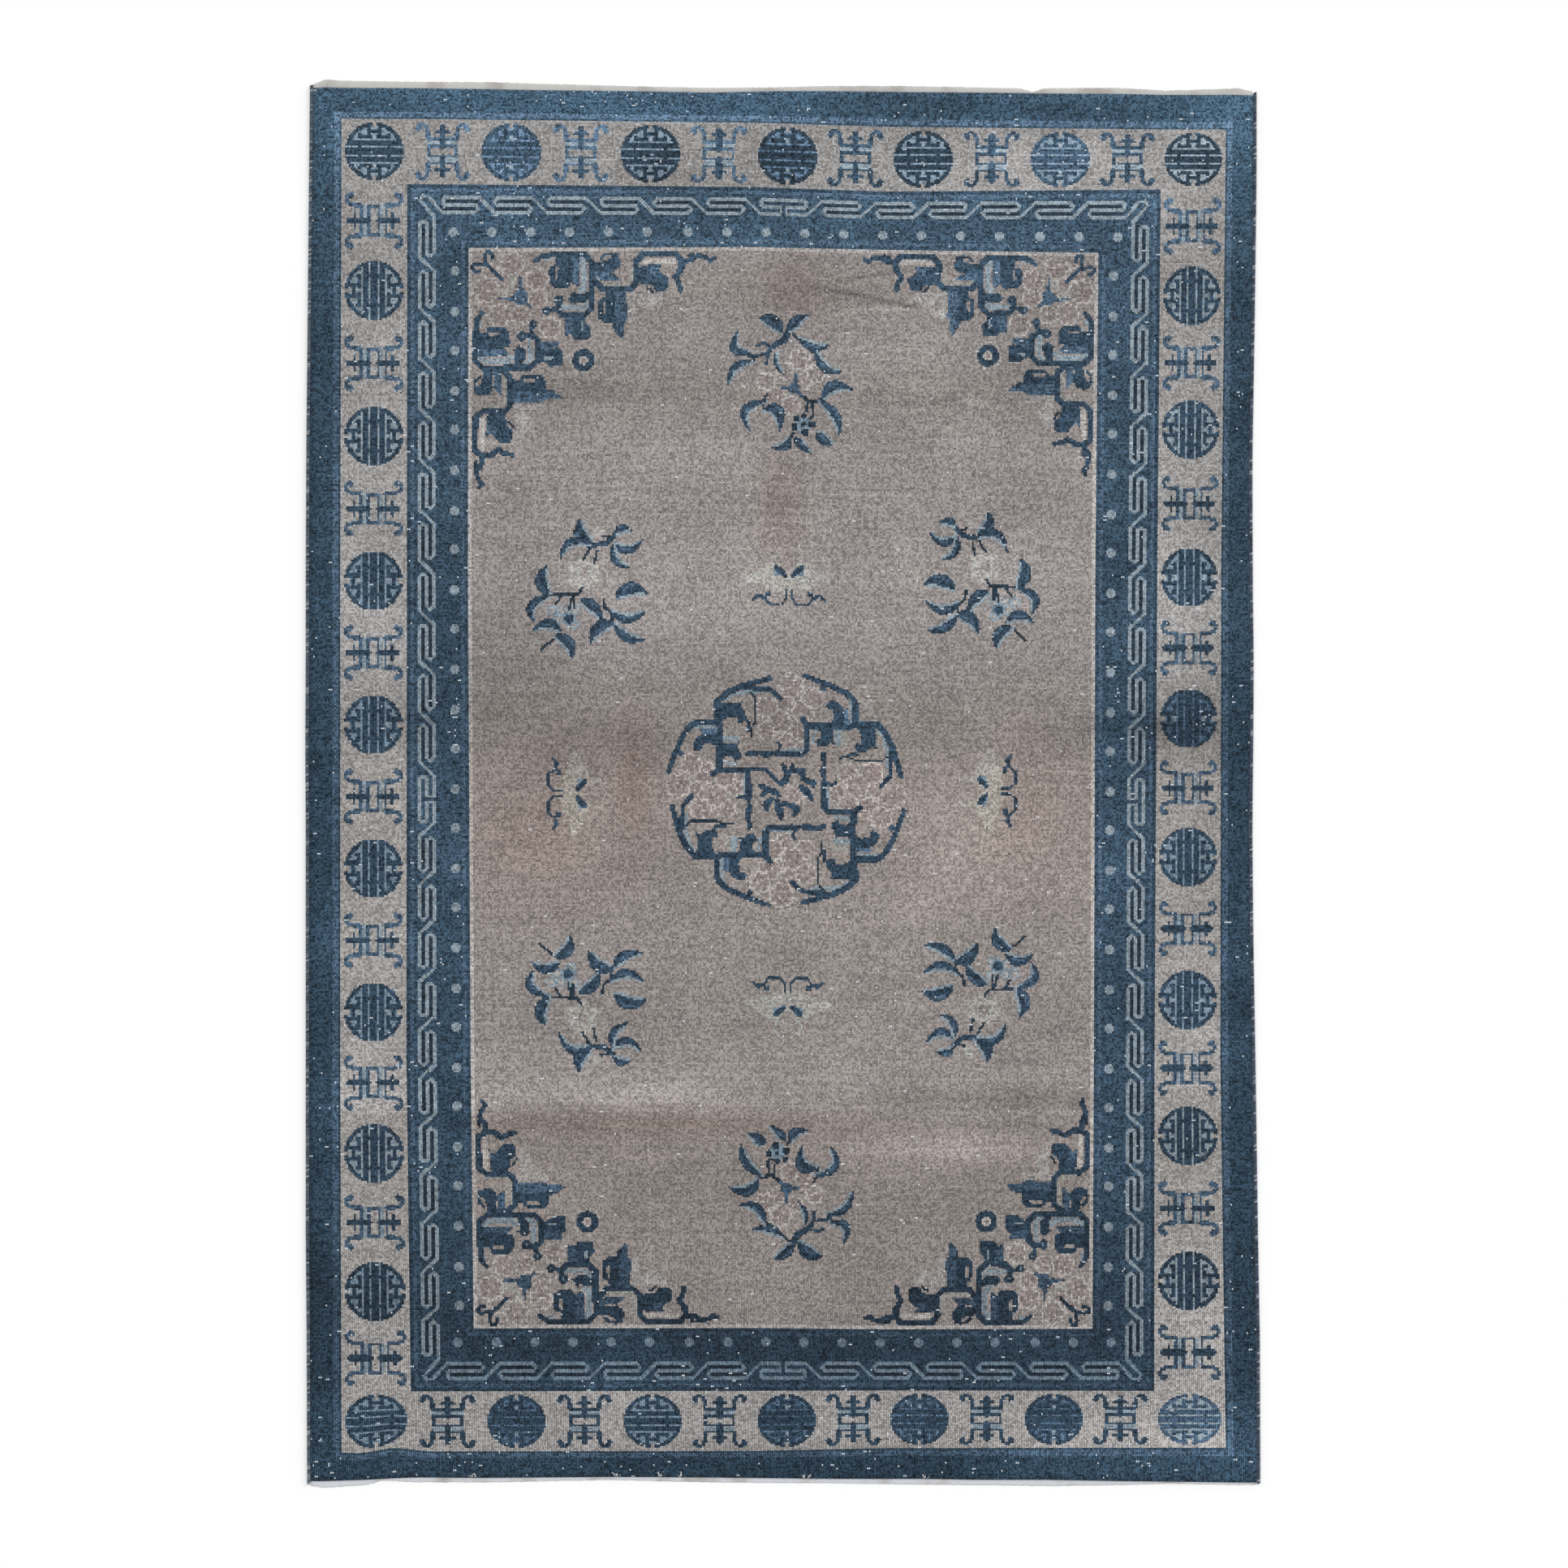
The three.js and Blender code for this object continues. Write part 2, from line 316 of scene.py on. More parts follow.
CORNER_BLOOMS = [
    (37.4, 28, 5.6), (28, 37.4, 5.6), (44.4, 44, 6.2), (37, 17.4, 6.6), (17.4, 37, 6.6), (12, 13, 5),
    (21, 21, 6.6), (23.4, 9, 7), (9.4, 23.6, 7.2),
]
CORNER_SIDE = [  # right and down from the field's corner, for the side above the diagonal
    ("navy", 1.9, [(9.6, 8.6), (8.9, 4.2), (9.6, 2.4), (11.6, 2.2), (13, 4), (12.8, 5.8)]),
    ("lining", (1.2, 2.4), [(28, 16.4), (28.2, 24)]),
    ("pearl", 1.6, [(41.4, 6.4), (44.2, 6), (45.6, 8.4)]),
    ("pearl", 3.0, [(50, 6.6), (61, 6.4), (62.8, 10), (62.8, 22), (60.6, 23.6)]),
    ("pearl", 2.4, [(50.6, 33.2), (61.6, 33.4), (64, 31)]),
    ("navy", (2.4, 3, 3.1, 3.1, 3.2, 3.2, 3.2, 3.2, 3), [
        (36, 7.4), (40.4, 4.2), (62.4, 3.5), (66.4, 7.9), (66.4, 33.6), (62.4, 37.6), (50.7, 37.2),
        (47.9, 33.6), (48.6, 30)]),
    ("navy", 5.4, [(48.9, 29)]),
    ("navy", 4.6, [(42.3, 35)]),
    ("navy", 2.4, [(42.6, 35), (47.8, 33.6)]),
    ("mist", 1.4, [(49.1, 29.2)], [(42, 35.2)]),
    ("navy", 0, [
        (47.4, 4.6), (60, 4.6), (60, 20.4), (58.6, 22), (55.6, 19), (54.6, 21.6), (52.6, 22.6), (46.4, 22.2),
        (43.6, 19.6), (43.4, 12), (44.6, 10), (47, 9.6)]),
    ("lining", 0, [(55.6, 5), (60, 5), (60, 20.4), (58.6, 21.8), (56, 18.6)]),
    ("field", 1.5, [(47.6, 16.6), (47.8, 11.4)]),
    ("field", 1.7, [(44.4, 6.6), (46.2, 8.2)]),
    ("navy", 0, [
        (53.6, 28.4), (57.2, 23.6), (57.9, 25.6), (65.6, 24.6), (65.4, 28.2), (62, 30.9), (56.6, 31.2)]),
    ("lining", 0, [(51.6, 39), (58, 38.6), (56.4, 44), (55, 48.2), (52, 49)]),
    ("navy", 0, [
        (57.6, 38), (62.6, 37.6), (63.4, 41.4), (66, 44.2), (65.4, 50.9), (57.2, 50.9), (55.2, 48),
        (56.6, 43)]),
    ("pearl", 1.4, [(61.4, 41.2), (61.2, 45)]),
    ("navy", 0, [
        (67.8, 8.2), (72.6, 7.6), (76.6, 6.2), (77.4, 3), (80.6, 3.4), (82, 7.2), (81.6, 10.8), (77.8, 13.6),
        (70.4, 13), (67.8, 15)]),
    ("navy", 1.6, [(71.4, 6.2), (73.8, 3.8), (77.6, 3.4)]),
    ("lining", 0, [(68.2, 13.4), (77.8, 13.8), (79.4, 15.2), (81.9, 17.9), (71.2, 17.9), (68.2, 16)]),
    ("straw", 2.6, [(69.6, 18.4), (73.4, 20.4), (85.4, 20.6), (88, 17.4), (88.2, 9.4)]),
    ("navy", (3.2, 3.2, 3.2, 3.2, 3.2, 3.2, 3.2, 3.6, 3, 3, 2.6), [
        (67.6, 17.2), (72, 22.9), (87.3, 23), (90.8, 19.4), (90.5, 7.9), (93.9, 4), (112.2, 3.7),
        (115.2, 7.6), (114.8, 12), (111.8, 16.4), (113.7, 19.6), (114.6, 24)]),
    ("navy", (3, 3, 2.8, 2.4, 2.8, 2.2), [
        (115.5, 7.4), (120.3, 7), (124, 4.4), (128.4, 5.6), (130.5, 7.4), (132.8, 6)]),
    ("ink", 1.6, [(118.6, 4.4), (121.6, 3.6)]),
    ("blush", 2.8, [(95, 7.6), (111, 7.4)]),
    ("navy", 0, [
        (91.6, 11.4), (94, 9.8), (104.4, 9.4), (102.6, 12.2), (106.6, 15.8), (108, 16.8), (107.8, 22.6),
        (105.6, 24.2), (100.8, 24.2), (99, 20.8), (93.8, 20.4), (91, 18.8)]),
    ("lining", 0, [(98, 10.4), (104, 9.8), (102.2, 12.2), (103.4, 14.6), (98, 15)]),
    ("ink", 1.4, [(96.2, 22), (99.4, 24.6)]),
    ("navy", 0, [
        (74, 24), (85.2, 24), (85.9, 39.4), (84, 42.3), (83.8, 48.2), (83.3, 51), (78.6, 45.4), (78.2, 41.8),
        (73.4, 41.8), (70.4, 39.4), (70, 30.4), (71.6, 28.2), (73.6, 27.6)]),
    ("lining", 0, [
        (79.4, 24), (85.2, 24), (85.9, 39.4), (84, 42.3), (83.8, 48.2), (83.3, 50.4), (79.8, 46),
        (79.2, 30)]),
    ("field", 1.5, [(73.4, 35.6), (73.6, 30.2)]),
    ("sand", 3.6, [(88.2, 26), (88.4, 40)]),
    ("sand", (5, 8, 5), [(92, 28), (97, 29.6), (103, 28)]),
]
CORNER_FLOWER = (62.3, 62.3)
CORNER_MIDDLE = [  # what lies on the diagonal itself
    ("navy", 2.2, [(9.2, 8.8), (18.4, 17.6)]),
    ("ivory", (2.6, 3.4, 3.4, 2.6), [(15.2, 23.2), (20.4, 24.4), (24.4, 20.4), (23.2, 15.2)]),
    ("lining", 0, [(23.6, 26), (26, 23.4), (30, 22.8), (32, 25), (32, 31.6), (26, 31.4)]),
    ("lining", 1.8, [(31.4, 30.4), (33.4, 32.4)]),
    ("ivory", 15, [CORNER_FLOWER]), ("field", 13.4, [CORNER_FLOWER]), ("navy", 12, [CORNER_FLOWER]),
    ("blush", 5, [CORNER_FLOWER]), ("rose", 2.6, [CORNER_FLOWER]),
]
LEFT, RIGHT = FIELD_FROM, KNOTS_ACROSS - FIELD_FROM
BOTTOM, TOP = FIELD_FROM, NOMINAL_TOP - FIELD_FROM
CORNERS = [  # each corner of the field, and how tightly its piece is woven, less than 0 to the left and down
    (LEFT, TOP, 1.0, -0.98), (RIGHT, TOP, -0.95, -0.91),
    (LEFT, BOTTOM, 1.01, 0.925), (RIGHT, BOTTOM, -0.94, 0.94),
]
for col, row, wide, long in CORNERS:
    sides = [placed(col, row, wide=wide, long=long, lying=lying) for lying in (False, True)]
    blooms(CORNER_BLOOMS, sides[0])
    for put in sides:
        draw(CORNER_SIDE, put)
    draw(CORNER_MIDDLE, sides[0])


# THE MEDALLION
# A round fret with broad leaves in the middle of the field. One quarter of it is drawn and knotted four
# times, each a quarter turn on, round four peonies and a small flower with blue leaves.

MEDALLION = (258.4, 377.7)
ROW_SHARE = 0.972  # the rows were beaten down a little tighter than the columns here
MEDALLION_BLOOMS = [
    (-10.2, 33, 5.8), (1.2, 27.8, 5.2), (7.4, 33.4, 6), (-3.2, 38.4, 6.6), (-1.6, 49.4, 6), (9.4, 44.4, 6.6),
    (-10.6, 46.6, 6.2), (14.4, 51.6, 6.2), (2.6, 58.6, 7),
]
QUARTER = [
    ("straw", 2, [(-61, 21), (-50.6, 41), (-39, 50)]),
    ("pearl", 2.2, [(-34, 50.4), (-30, 53.2), (-21, 54.6), (-14, 54.8)]),
    ("pearl", 2.4, [(-50, 34.8), (-47, 36), (-39.4, 35.8)]),
    ("pearl", 3.4, [(-33, 28.6), (-27, 28.4)]),
    ("straw", 4, [(-33, 32), (-27, 32)]),
    ("pearl", 2, [(-34, 15.4), (-27, 14.4)]),
    ("navy", (2.4, 3, 3.2, 3.4, 3.4, 3.4), [
        (-64, 10), (-60.3, 20.8), (-55.1, 32.1), (-51.6, 36.4), (-48.6, 37.8), (-37, 37.8)]),
    ("navy", 3.4, [(-57.4, 20.2)]),
    ("navy", 3.6, [(-37.4, 49.6), (-37.2, 37.8), (-36, 35.4), (-36.4, 12)]),
    ("navy", (3.4, 3.6, 3.4, 3), [(-37.2, 49.6), (-31.6, 54.6), (-24.2, 58), (-9.2, 62.2)]),
    ("navy", (3, 2.8, 2.6, 2.6), [(-24.2, 57.6), (-16.4, 56.6), (-9.2, 56.4), (-3, 51.4)]),
    ("ink", 1.2, [(-19.6, 54.6), (-17.2, 51.8), (-17.2, 37.5), (-19.2, 34), (-18.8, 29.4)]),
    ("navy", 1.8, [(-20.6, 38.6), (-20.4, 33)]),
    ("navy", 0, [
        (-36.4, 49), (-26, 48.6), (-23.4, 49.8), (-25, 46.4), (-22.2, 43.4), (-21.6, 39), (-24.6, 37),
        (-27, 38.2), (-26.4, 40.6), (-29.6, 40.8), (-33.6, 39.6), (-36.4, 36.6)]),
    ("navy", 0, [
        (-37.6, 32), (-44, 32), (-48.6, 29.4), (-50.6, 25.6), (-50, 22.4), (-47.2, 21.6), (-45.4, 23.4),
        (-45.8, 25.4), (-41, 26), (-37.6, 24.4)]),
    ("blue", 0, [(-37.6, 34.2), (-47.4, 33.8), (-44.6, 31.4), (-37.6, 31.6)]),
    ("navy", 0, [
        (-35.2, 26), (-28.6, 25.6), (-25.6, 27), (-27, 24), (-24.6, 21), (-24.8, 17.4), (-28, 15.8),
        (-29.4, 18.4), (-32.6, 18.8), (-35.2, 16)]),
    ("navy", 3.2, [(-39.8, 9), (-36.6, 11.4), (-23, 11.4), (-20.6, 9), (-20.4, -3)]),
    ("navy", (3.6, 2.2, 4, 2.4, 3.4), [(-20.4, -3), (-20.6, -7), (-20, -11), (-20.8, -15), (-20, -20.4)]),
    ("navy", 1.6, [(-22.2, -4.6), (-24.6, -3.2), (-26.6, -4.4)]),
    ("pearl", 1.4, [(-23, 9), (-22.6, -2)]),
]
FLOWER_LEAVES = [  # the small flower's stem and its leaves
    (2.2, [(-20.7, 11.4), (-11.4, 11.2), (-3.4, 3.4)]),
    ((3, 4.4, 3.6, 2.6), [(-3.4, 3.6), (-0.2, 6), (0.6, 9.4), (-1.8, 13.6)]),
    ((2.4, 3, 1.8), [(0.8, 9.6), (2.8, 11.4), (3.4, 14)]),
    ((1.8, 3.6, 4.6, 3.4), [(2.4, 9.6), (5.4, 11), (8.6, 10.4), (9.4, 6.8)]),
    ((2.4, 3.8, 4), [(9.4, 6.4), (12, 5), (15, 4.6)]), (3, [(14.6, 2.6)]),
    ((2.2, 4.4, 3.8, 2), [(7.8, 2.4), (10, 0.6), (12.2, -1.8), (13.6, -4.4)]),
    ((2.2, 2.8), [(-9.4, 1.2), (-14, 2.2)]), (2.4, [(-9.6, 0.4), (-13.4, -3)]),
    ((4, 3.4, 2), [(-9.2, 0), (-6.2, -0.8), (-3.6, -3)]),
    ((2, 3.8, 3.6, 2.2), [(-7.4, -4.4), (-9.8, -6.2), (-11.2, -8.6), (-10.6, -11)]),
    ((2.2, 4.6, 4.6, 3, 1.2), [(-5, -5.2), (-4.6, -8.4), (-3.6, -11.4), (-3, -13.6), (-3, -16)]),
    ((2.2, 3.4, 3.8, 2.6), [(-2, -7), (2.8, -8.2), (5.8, -10), (4.2, -13.2)]),
]
quarters = [placed(*MEDALLION, turn, long=ROW_SHARE) for turn in range(4)]
for put in quarters:
    blooms(MEDALLION_BLOOMS, put)
for put in quarters:
    draw(QUARTER, put)
blooms([(4.6, -1.4, 5.4)], placed(*MEDALLION))
for width, path in FLOWER_LEAVES:
    brush(path, width, "navy", placed(*MEDALLION))


# THE SPRAYS
# Six cut branches with dark leaves lie round the medallion: one with peonies above it and one below, and
# four with an ivory flower, each the mirror image of the next.

LEAF_STATIONS = (0, 0.2, 0.4, 0.6, 0.8, 1)
LEAF_SHAPE = (0.3, 0.85, 1, 0.85, 0.55, 0.2)  # its width from the stalk to the tip
LEAF_POINTS = 9
PALE_SIDE = 1.6  # how far the pale shade stands out on the inside of the bend, in knots


def leaf(path, width, put):
    """A dark leaf along a straight or a bent line, with a pale shade along one side of it."""
    start, tip = np.array(path[0], float), np.array(path[-1], float)
    straight = (start + tip) / 2
    middle = np.array(path[1], float) if len(path) > 2 else straight
    share = np.linspace(0, 1, LEAF_POINTS)[:, None]
    bend = 2 * middle - straight
    line = (1 - share) ** 2 * start + 2 * share * (1 - share) * bend + share ** 2 * tip
    widths = np.interp(share[:, 0], LEAF_STATIONS, LEAF_SHAPE) * width
    inwards = straight - middle
    inwards = inwards / max(np.hypot(*inwards), 1)
    brush(line[:-1] + inwards * PALE_SIDE, widths[:-1] * 0.9, "pearl", put)
    brush(line, widths * 0.92, "navy", put)
    run = (tip - start) / np.hypot(*(tip - start))
    aside = np.array((-run[1], run[0])) * width * 0.18
    brush(line[2:6] + aside, widths[2:6] * 0.3, "lining", put)


PEONY_LEAVES = [
    (7.4, [(-3.4, 32.5), (-9, 38), (-15.5, 39)]), (6, [(0.1, 33.1), (4, 38), (10.1, 41.1)]),
    (5, [(-21, 20), (-29.4, 22.5), (-27.5, 32)]), (4.2, [(-19.3, 16), (-29, 12.5), (-32.8, 2.4)]),
    (2.4, [(-6.9, 21.3), (-6.8, 14), (-2.2, 8.9)]), (4.6, [(6, 27.8), (14, 23.5), (21.9, 24.9)]),
    (5, [(14.8, 20.7), (20, 12), (29, 10.7)]), (6.4, [(19, -2.4), (25, 3.4), (34.8, 1.3)]),
    (5, [(17.8, -5.2), (26.6, -13.6), (27.8, -22.9)]), (4.6, [(-12.8, -5.8), (-23.8, -11.5), (-20.5, -22.3)]),
    (7, [(-12, -10), (-4.6, -11.5), (-4.6, -21.7)]), (5.4, [(1.3, -25.9), (-1.5, -30.5), (-8.2, -30.9)]),
    (4.8, [(4.2, -25.3), (7, -29.5), (12.5, -33.8)]), (6, [(16, -23), (19, -26.5), (23.7, -29)]),
]
PEONY_TWIGS = [
    ("navy", (3.4, 4.4, 2.6, 1.8, 1.6), [
        (0.4, 33), (-2.2, 27.8), (-9.3, 23.1), (-11.1, 19.5), (-11.7, 14.2)]),
    ("navy", 1.8, [(-8.6, 23.6), (-13.5, 25.6), (-17, 24)], [(-11.7, 19.5), (-21, 18.2)]),
    ("navy", 1.6, [(-19.5, 18), (-18.8, 15.8)]),
    ("ink", 2, [(6.6, -1.7), (11.3, -5.8), (19, -4.6)]),
    ("ink", 1.5, [(2.6, 31), (4.2, 28.6), (7, 27.4)], [(12, 22), (15.4, 20)], [(3, -23), (1, -26.4)],
     [(13, -6.4), (13.7, -13.5), (8.9, -17)], [(10.4, -6), (10.2, -11)],
     [(-11.4, -2), (-13, -5.6), (-13.4, -10.6)]),
    ("mist", 9, [(8.2, -18.8)]),
    ("ink", 3.4, [(4.4, -14.8)], [(8.6, -13.6)]), ("ink", 3.8, [(13, -18)]),
    ("ink", 4.2, [(9.4, -22.4)]), ("ink", 4, [(3.6, -19.6)]), ("ink", 2.6, [(8.4, -18.2)]),
]
PEONY_BLOOMS = [
    (8.6, 5.6, 5), (-1.6, 10.4, 5), (15, 9.4, 5.4), (6.6, 17, 6.2), (-11.6, 4.8, 5.2), (1.6, -8, 5.6),
    (-7, -3.4, 6),
]
CALYX = [
    ("lining", 6.4, [(3.4, 1.4)]), ("lining", 2.2, [(3.8, 3), (3.9, 8.6)]),
    ("lining", 1.8, [(1, 1.4), (-3, 1.4)]), ("lining", 2, [(4, 0.6), (6.8, -1.8)]),
]


def peony_spray(put):
    """Seven peonies, a few twigs with buds, and the leaves over them."""
    blooms(PEONY_BLOOMS, put)
    draw(PEONY_TWIGS, put)
    for width, path in PEONY_LEAVES:
        leaf(path, width, put)
    draw(CALYX, put)


FLOWER_SPRAY_LEAVES = [
    (7.4, [(0.4, 25.7), (-5.4, 30), (-5.4, 38)]), (4.6, [(-0.2, 25.2), (-11, 26), (-16.3, 16.4)]),
    (4.6, [(14, 24.6), (22, 21), (29.4, 26.8)]), (4, [(13, 24), (14.4, 15.5), (22.3, 11.7)]),
    (4.4, [(14.4, 31), (18.5, 33.6), (23.6, 32.2)]),
    (7, [(-23.2, -2.2), (-27.4, 5), (-24.2, 12.6)]), (5, [(-23.2, -3.3), (-33, -9), (-30.8, -17.6)]),
    (6.6, [(-4.6, -5.5), (2.6, -9), (6.9, -16.5)]), (7.4, [(15.1, -3.6), (23.5, 1), (32.1, -1.7)]),
    (5, [(12.4, -12.6), (22, -16.4), (31.3, -11.5)]), (7, [(13, -18.1), (4.6, -20.5), (0.4, -28.5)]),
    (5.4, [(14, -19.8), (21, -26.4), (30.5, -27.2)]), (5.6, [(-16.6, -21.4), (-24, -18), (-31.4, -22)]),
    (6.4, [(-18.2, -25.2), (-11, -29), (-10, -36.8)]),
]
FLOWER_SPRAY_TWIGS = [
    ("navy", (2, 2.8, 3, 3, 2.6), [(-0.7, 23.5), (2.6, 24.1), (9.7, 25.2), (13.5, 28.5), (16.2, 32)]),
    ("ink", 1.4, [(0.4, 22.4), (-3.5, 16.4)], [(4.2, 21.3), (2.8, 14.5)], [(6.4, 29.5), (10.8, 28.5)],
     [(-15.5, -3.3), (-18.5, -7.7)], [(-9.5, -2.8), (-11.4, -10.4)], [(-8.4, -3.9), (-8.7, -10.4)],
     [(-19.3, -25.8), (-27, -32.4)], [(-16, -22), (-18.6, -26)]),
    ("ink", 1.5, [(-23.2, -2.8), (-6.2, -2.5), (-4, 1.1)]),
    ("ink", 1.6, [(7.8, -5.2), (8.6, -9.9), (12.4, -12.6), (13, -18.7)]),
]
FLOWER = (-3.2, 8.7)
FLOWER_HEART = [("ivory", 8, [FLOWER]), ("rose", 5, [FLOWER]), ("ivory", 2.2, [FLOWER])]
LOWER_PETALS = [
    ((-21, -11), 6), ((-15.4, -11), 5.4), ((-8, -10.6), 6), ((-17.4, -16), 6.4), ((-9.4, -18.4), 6.6),
]
LOWER_HEART_AND_BUD = [
    ("mist", 7.4, [(-11.4, -15.7)]), ("navy", 5, [(-11.4, -15.7)]),
    ("ivory", 5.4, [(5.3, 31.7)]), ("straw", 1.6, [(5.3, 31.7)]),
]


def flower_spray(put):
    """The open flower has six round petals, and the one below it is seen from the side."""
    for turn in range(6):
        angle = math.radians(60 * turn + 30)
        brush([(FLOWER[0] + 5.6 * math.cos(angle), FLOWER[1] + 5.4 * math.sin(angle))], 7.4, "ivory", put)
        brush([(FLOWER[0] + 8 * math.cos(angle), FLOWER[1] + 8 * math.sin(angle))], 1.8, "blush", put)
    draw(FLOWER_HEART, put)
    for place, width in LOWER_PETALS:
        draw([("pearl", width, [place]), ("sand", width - 2.4, [place])], put)
    draw(FLOWER_SPRAY_TWIGS, put)
    for width, path in FLOWER_SPRAY_LEAVES:
        leaf(path, width, put)
    draw(LOWER_HEART_AND_BUD, put)


peony_spray(placed(258.9, 594.5))
peony_spray(placed(261.6, 163.3, 2, long=0.97))
flower_spray(placed(151.8, 486.5, wide=0.97))
flower_spray(placed(363.2, 492.4, wide=-0.92, long=0.985))
flower_spray(placed(150.3, 262.7, 2, wide=-0.97, long=0.98))
flower_spray(placed(362.6, 268.2, 2, wide=0.945, long=0.965))


# THE BUTTERFLIES
# Four pale butterflies point away from the medallion, with dark marks on their wings and long feelers
# that curl, in a single line of knots.

WING = [("ivory", 0, [
    (0, 3.2), (5, 7.4), (10.4, 8.4), (16, 4.4), (24, 0.6), (21.6, -2.4), (15, -2.8), (12, -5.4), (6, -6),
    (3.4, -8.4), (0, -8.6)])]
WING_MARKS_AND_FEELER = [
    ("ivory", (1.4, 1.8, 2), [(5.2, 16.4), (7.6, 14.2), (6.2, 9.4), (5.2, 7)]),
    ("mist", 3, [(3.2, 2.6), (7, 3.2)]),
    ("navy", (3, 3.4, 2), [(6.6, 5.6), (4.6, 3.8), (2, 1.6)]),
    ("navy", 1.3, [
        (1.5, -6.4), (1.5, -10.8), (4.2, -14.1), (10.6, -14.1), (12.9, -10.8), (12.4, -8), (10.4, -7.8)]),
    ("navy", 2.2, [(10.8, -8.8)]),
    ("navy", (1.6, 2.4, 1.2), [(12.9, -10.8), (16.3, -9.5), (19.5, -11.8)]),
]
for col, row, turn in ((260, 492.7, 0), (259.1, 261.8, 2), (143.1, 375.9, 3), (368.9, 378.6, 1)):
    for strokes in (WING, WING_MARKS_AND_FEELER):
        for mirror in (1, -1):
            draw(strokes, placed(col, row, turn, mirror))


# THE PILE
# Wool knotted on cotton warps and cut short, one sheet with its foundation. It takes its outline and its
# soft ripples from the rug's solid, and each square of the mesh carries a block of four by four knots.

BLOCK = 4
PILE_HEIGHT = 0.006
PILE_PROBE = 0.005  # a height that meets the pile at the ends but passes over the woven ends
WEB_PROBE = 0.001
SIDE_ROLL = 0.0009  # how far the cut pile rounds down at its edge
FAR, HIGH = 2, 1  # well outside the rug, and well above it


def solid_tree(node):
    """A CAD solid, made ready for measuring."""
    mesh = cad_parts[node].data
    return BVHTree.FromPolygons([v.co for v in mesh.vertices], [p.vertices for p in mesh.polygons])


rug_solid = solid_tree("rug_body")


def reach_across(solid, y, z, way):
    """How far a solid goes out to the left, -1, or to the right, 1."""
    return solid.ray_cast(Vector((way * FAR, y, z)), Vector((-way, 0, 0)))[0].x


def reach_along(x, z, way):
    """How far the rug's solid goes down, -1, or up, 1."""
    return rug_solid.ray_cast(Vector((x, way * FAR, z)), Vector((0, -way, 0)))[0].y


def lift(x, y):
    """How far a ripple lifts the sheet off the floor."""
    hit = rug_solid.ray_cast(Vector((x, y, HIGH)), Vector((0, 0, -1)))[0]
    return max(0.0, hit.z - PILE_HEIGHT) if hit else 0.0


# Where the bands' lines of knots really run, in metres, because a hand-made rug is a little crooked
COLUMN_LINES = (16, 52, 86, 426, 460, 496)
COLUMN_PLACES = {  # distance along the rug: where each line of knots is across it
    1.483: (-0.940, -0.800, -0.669, 0.676, 0.807, 0.945),
    0.460: (-0.943, -0.801, -0.671, 0.666, 0.798, 0.934),
    -0.579: (-0.943, -0.802, -0.665, 0.663, 0.792, 0.932),
    -1.487: (-0.940, -0.790, -0.655, 0.658, 0.791, 0.945),
}
ROW_LINES = (16, 52, 86, 672, 706, 742)
ROW_PLACES = {  # distance across the rug: where each row of knots is along it
    -0.994: (-1.423, -1.295, -1.161, 1.141, 1.279, 1.418),
    -0.900: (-1.427, -1.295, -1.161, 1.141, 1.278, 1.417),
    -0.830: (-1.415, -1.295, -1.161, 1.141, 1.278, 1.416),
    -0.750: (-1.423, -1.295, -1.161, 1.141, 1.277, 1.416),
    -0.060: (-1.422, -1.294, -1.160, 1.143, 1.271, 1.408),
    0.217: (-1.416, -1.293, -1.163, 1.137, 1.261, 1.399),
    0.805: (-1.415, -1.294, -1.161, 1.129, 1.266, 1.393),
}
SQUARE_END = 1.462  # the pile's sides are read no nearer its ends than this
INSIDE = 0.001  # and its ends no nearer its sides


def between(table, place):
    """A row of a table at a place between its rows."""
    keys = sorted(table)
    return [np.interp(place, keys, line) for line in zip(*(table[key] for key in keys))]


def knot_place(col, row):
    """Where a corner of a knot lies on the rug."""
    y = np.interp(row, ROW_LINES, between(ROW_PLACES, (col / KNOTS_ACROSS - 0.5) * 2))
    for _ in range(2):
        inner = min(max(y, -SQUARE_END), SQUARE_END)
        left, right = (reach_across(rug_solid, inner, PILE_HEIGHT / 2, way) for way in (-1, 1))
        x = np.interp(col, (0, *COLUMN_LINES, KNOTS_ACROSS), (left, *between(COLUMN_PLACES, y), right))
        inside = min(max(x, left + INSIDE), right - INSIDE)
        bottom, top = (reach_along(inside, PILE_PROBE, way) for way in (-1, 1))
        y = np.interp(row, (0, *ROW_LINES, KNOT_ROWS), (bottom, *between(ROW_PLACES, x), top))
    return x, y


def closed_sheet(name, top, under):
    """A mesh from two grids of points, closed round the rim, and each face corner's number in the grid."""
    along, across = top.shape[:2]
    grid = np.arange(along * across).reshape(along, across)
    cells = np.stack((grid[:-1, :-1], grid[:-1, 1:], grid[1:, 1:], grid[1:, :-1]), -1).reshape(-1, 4)
    rim = np.concatenate((grid[0, :-1], grid[:-1, -1], grid[-1, :0:-1], grid[:0:-1, 0]))
    following = np.roll(rim, -1)
    walls = np.stack((rim + grid.size, following + grid.size, following, rim), -1)
    faces = np.concatenate((cells, cells[:, ::-1] + grid.size, walls))
    mesh = bpy.data.meshes.new(name)
    mesh.from_pydata(np.concatenate((top.reshape(-1, 3), under.reshape(-1, 3))).tolist(), [], faces.tolist())
    mesh.shade_smooth()
    corners = np.zeros(len(mesh.loops), int)
    mesh.loops.foreach_get("vertex_index", corners)
    return mesh, corners % grid.size


def add_object(name, data):
    """Puts a mesh, a light or a camera in the scene."""
    thing = bpy.data.objects.new(name, data)
    bpy.context.scene.collection.objects.link(thing)
    return thing


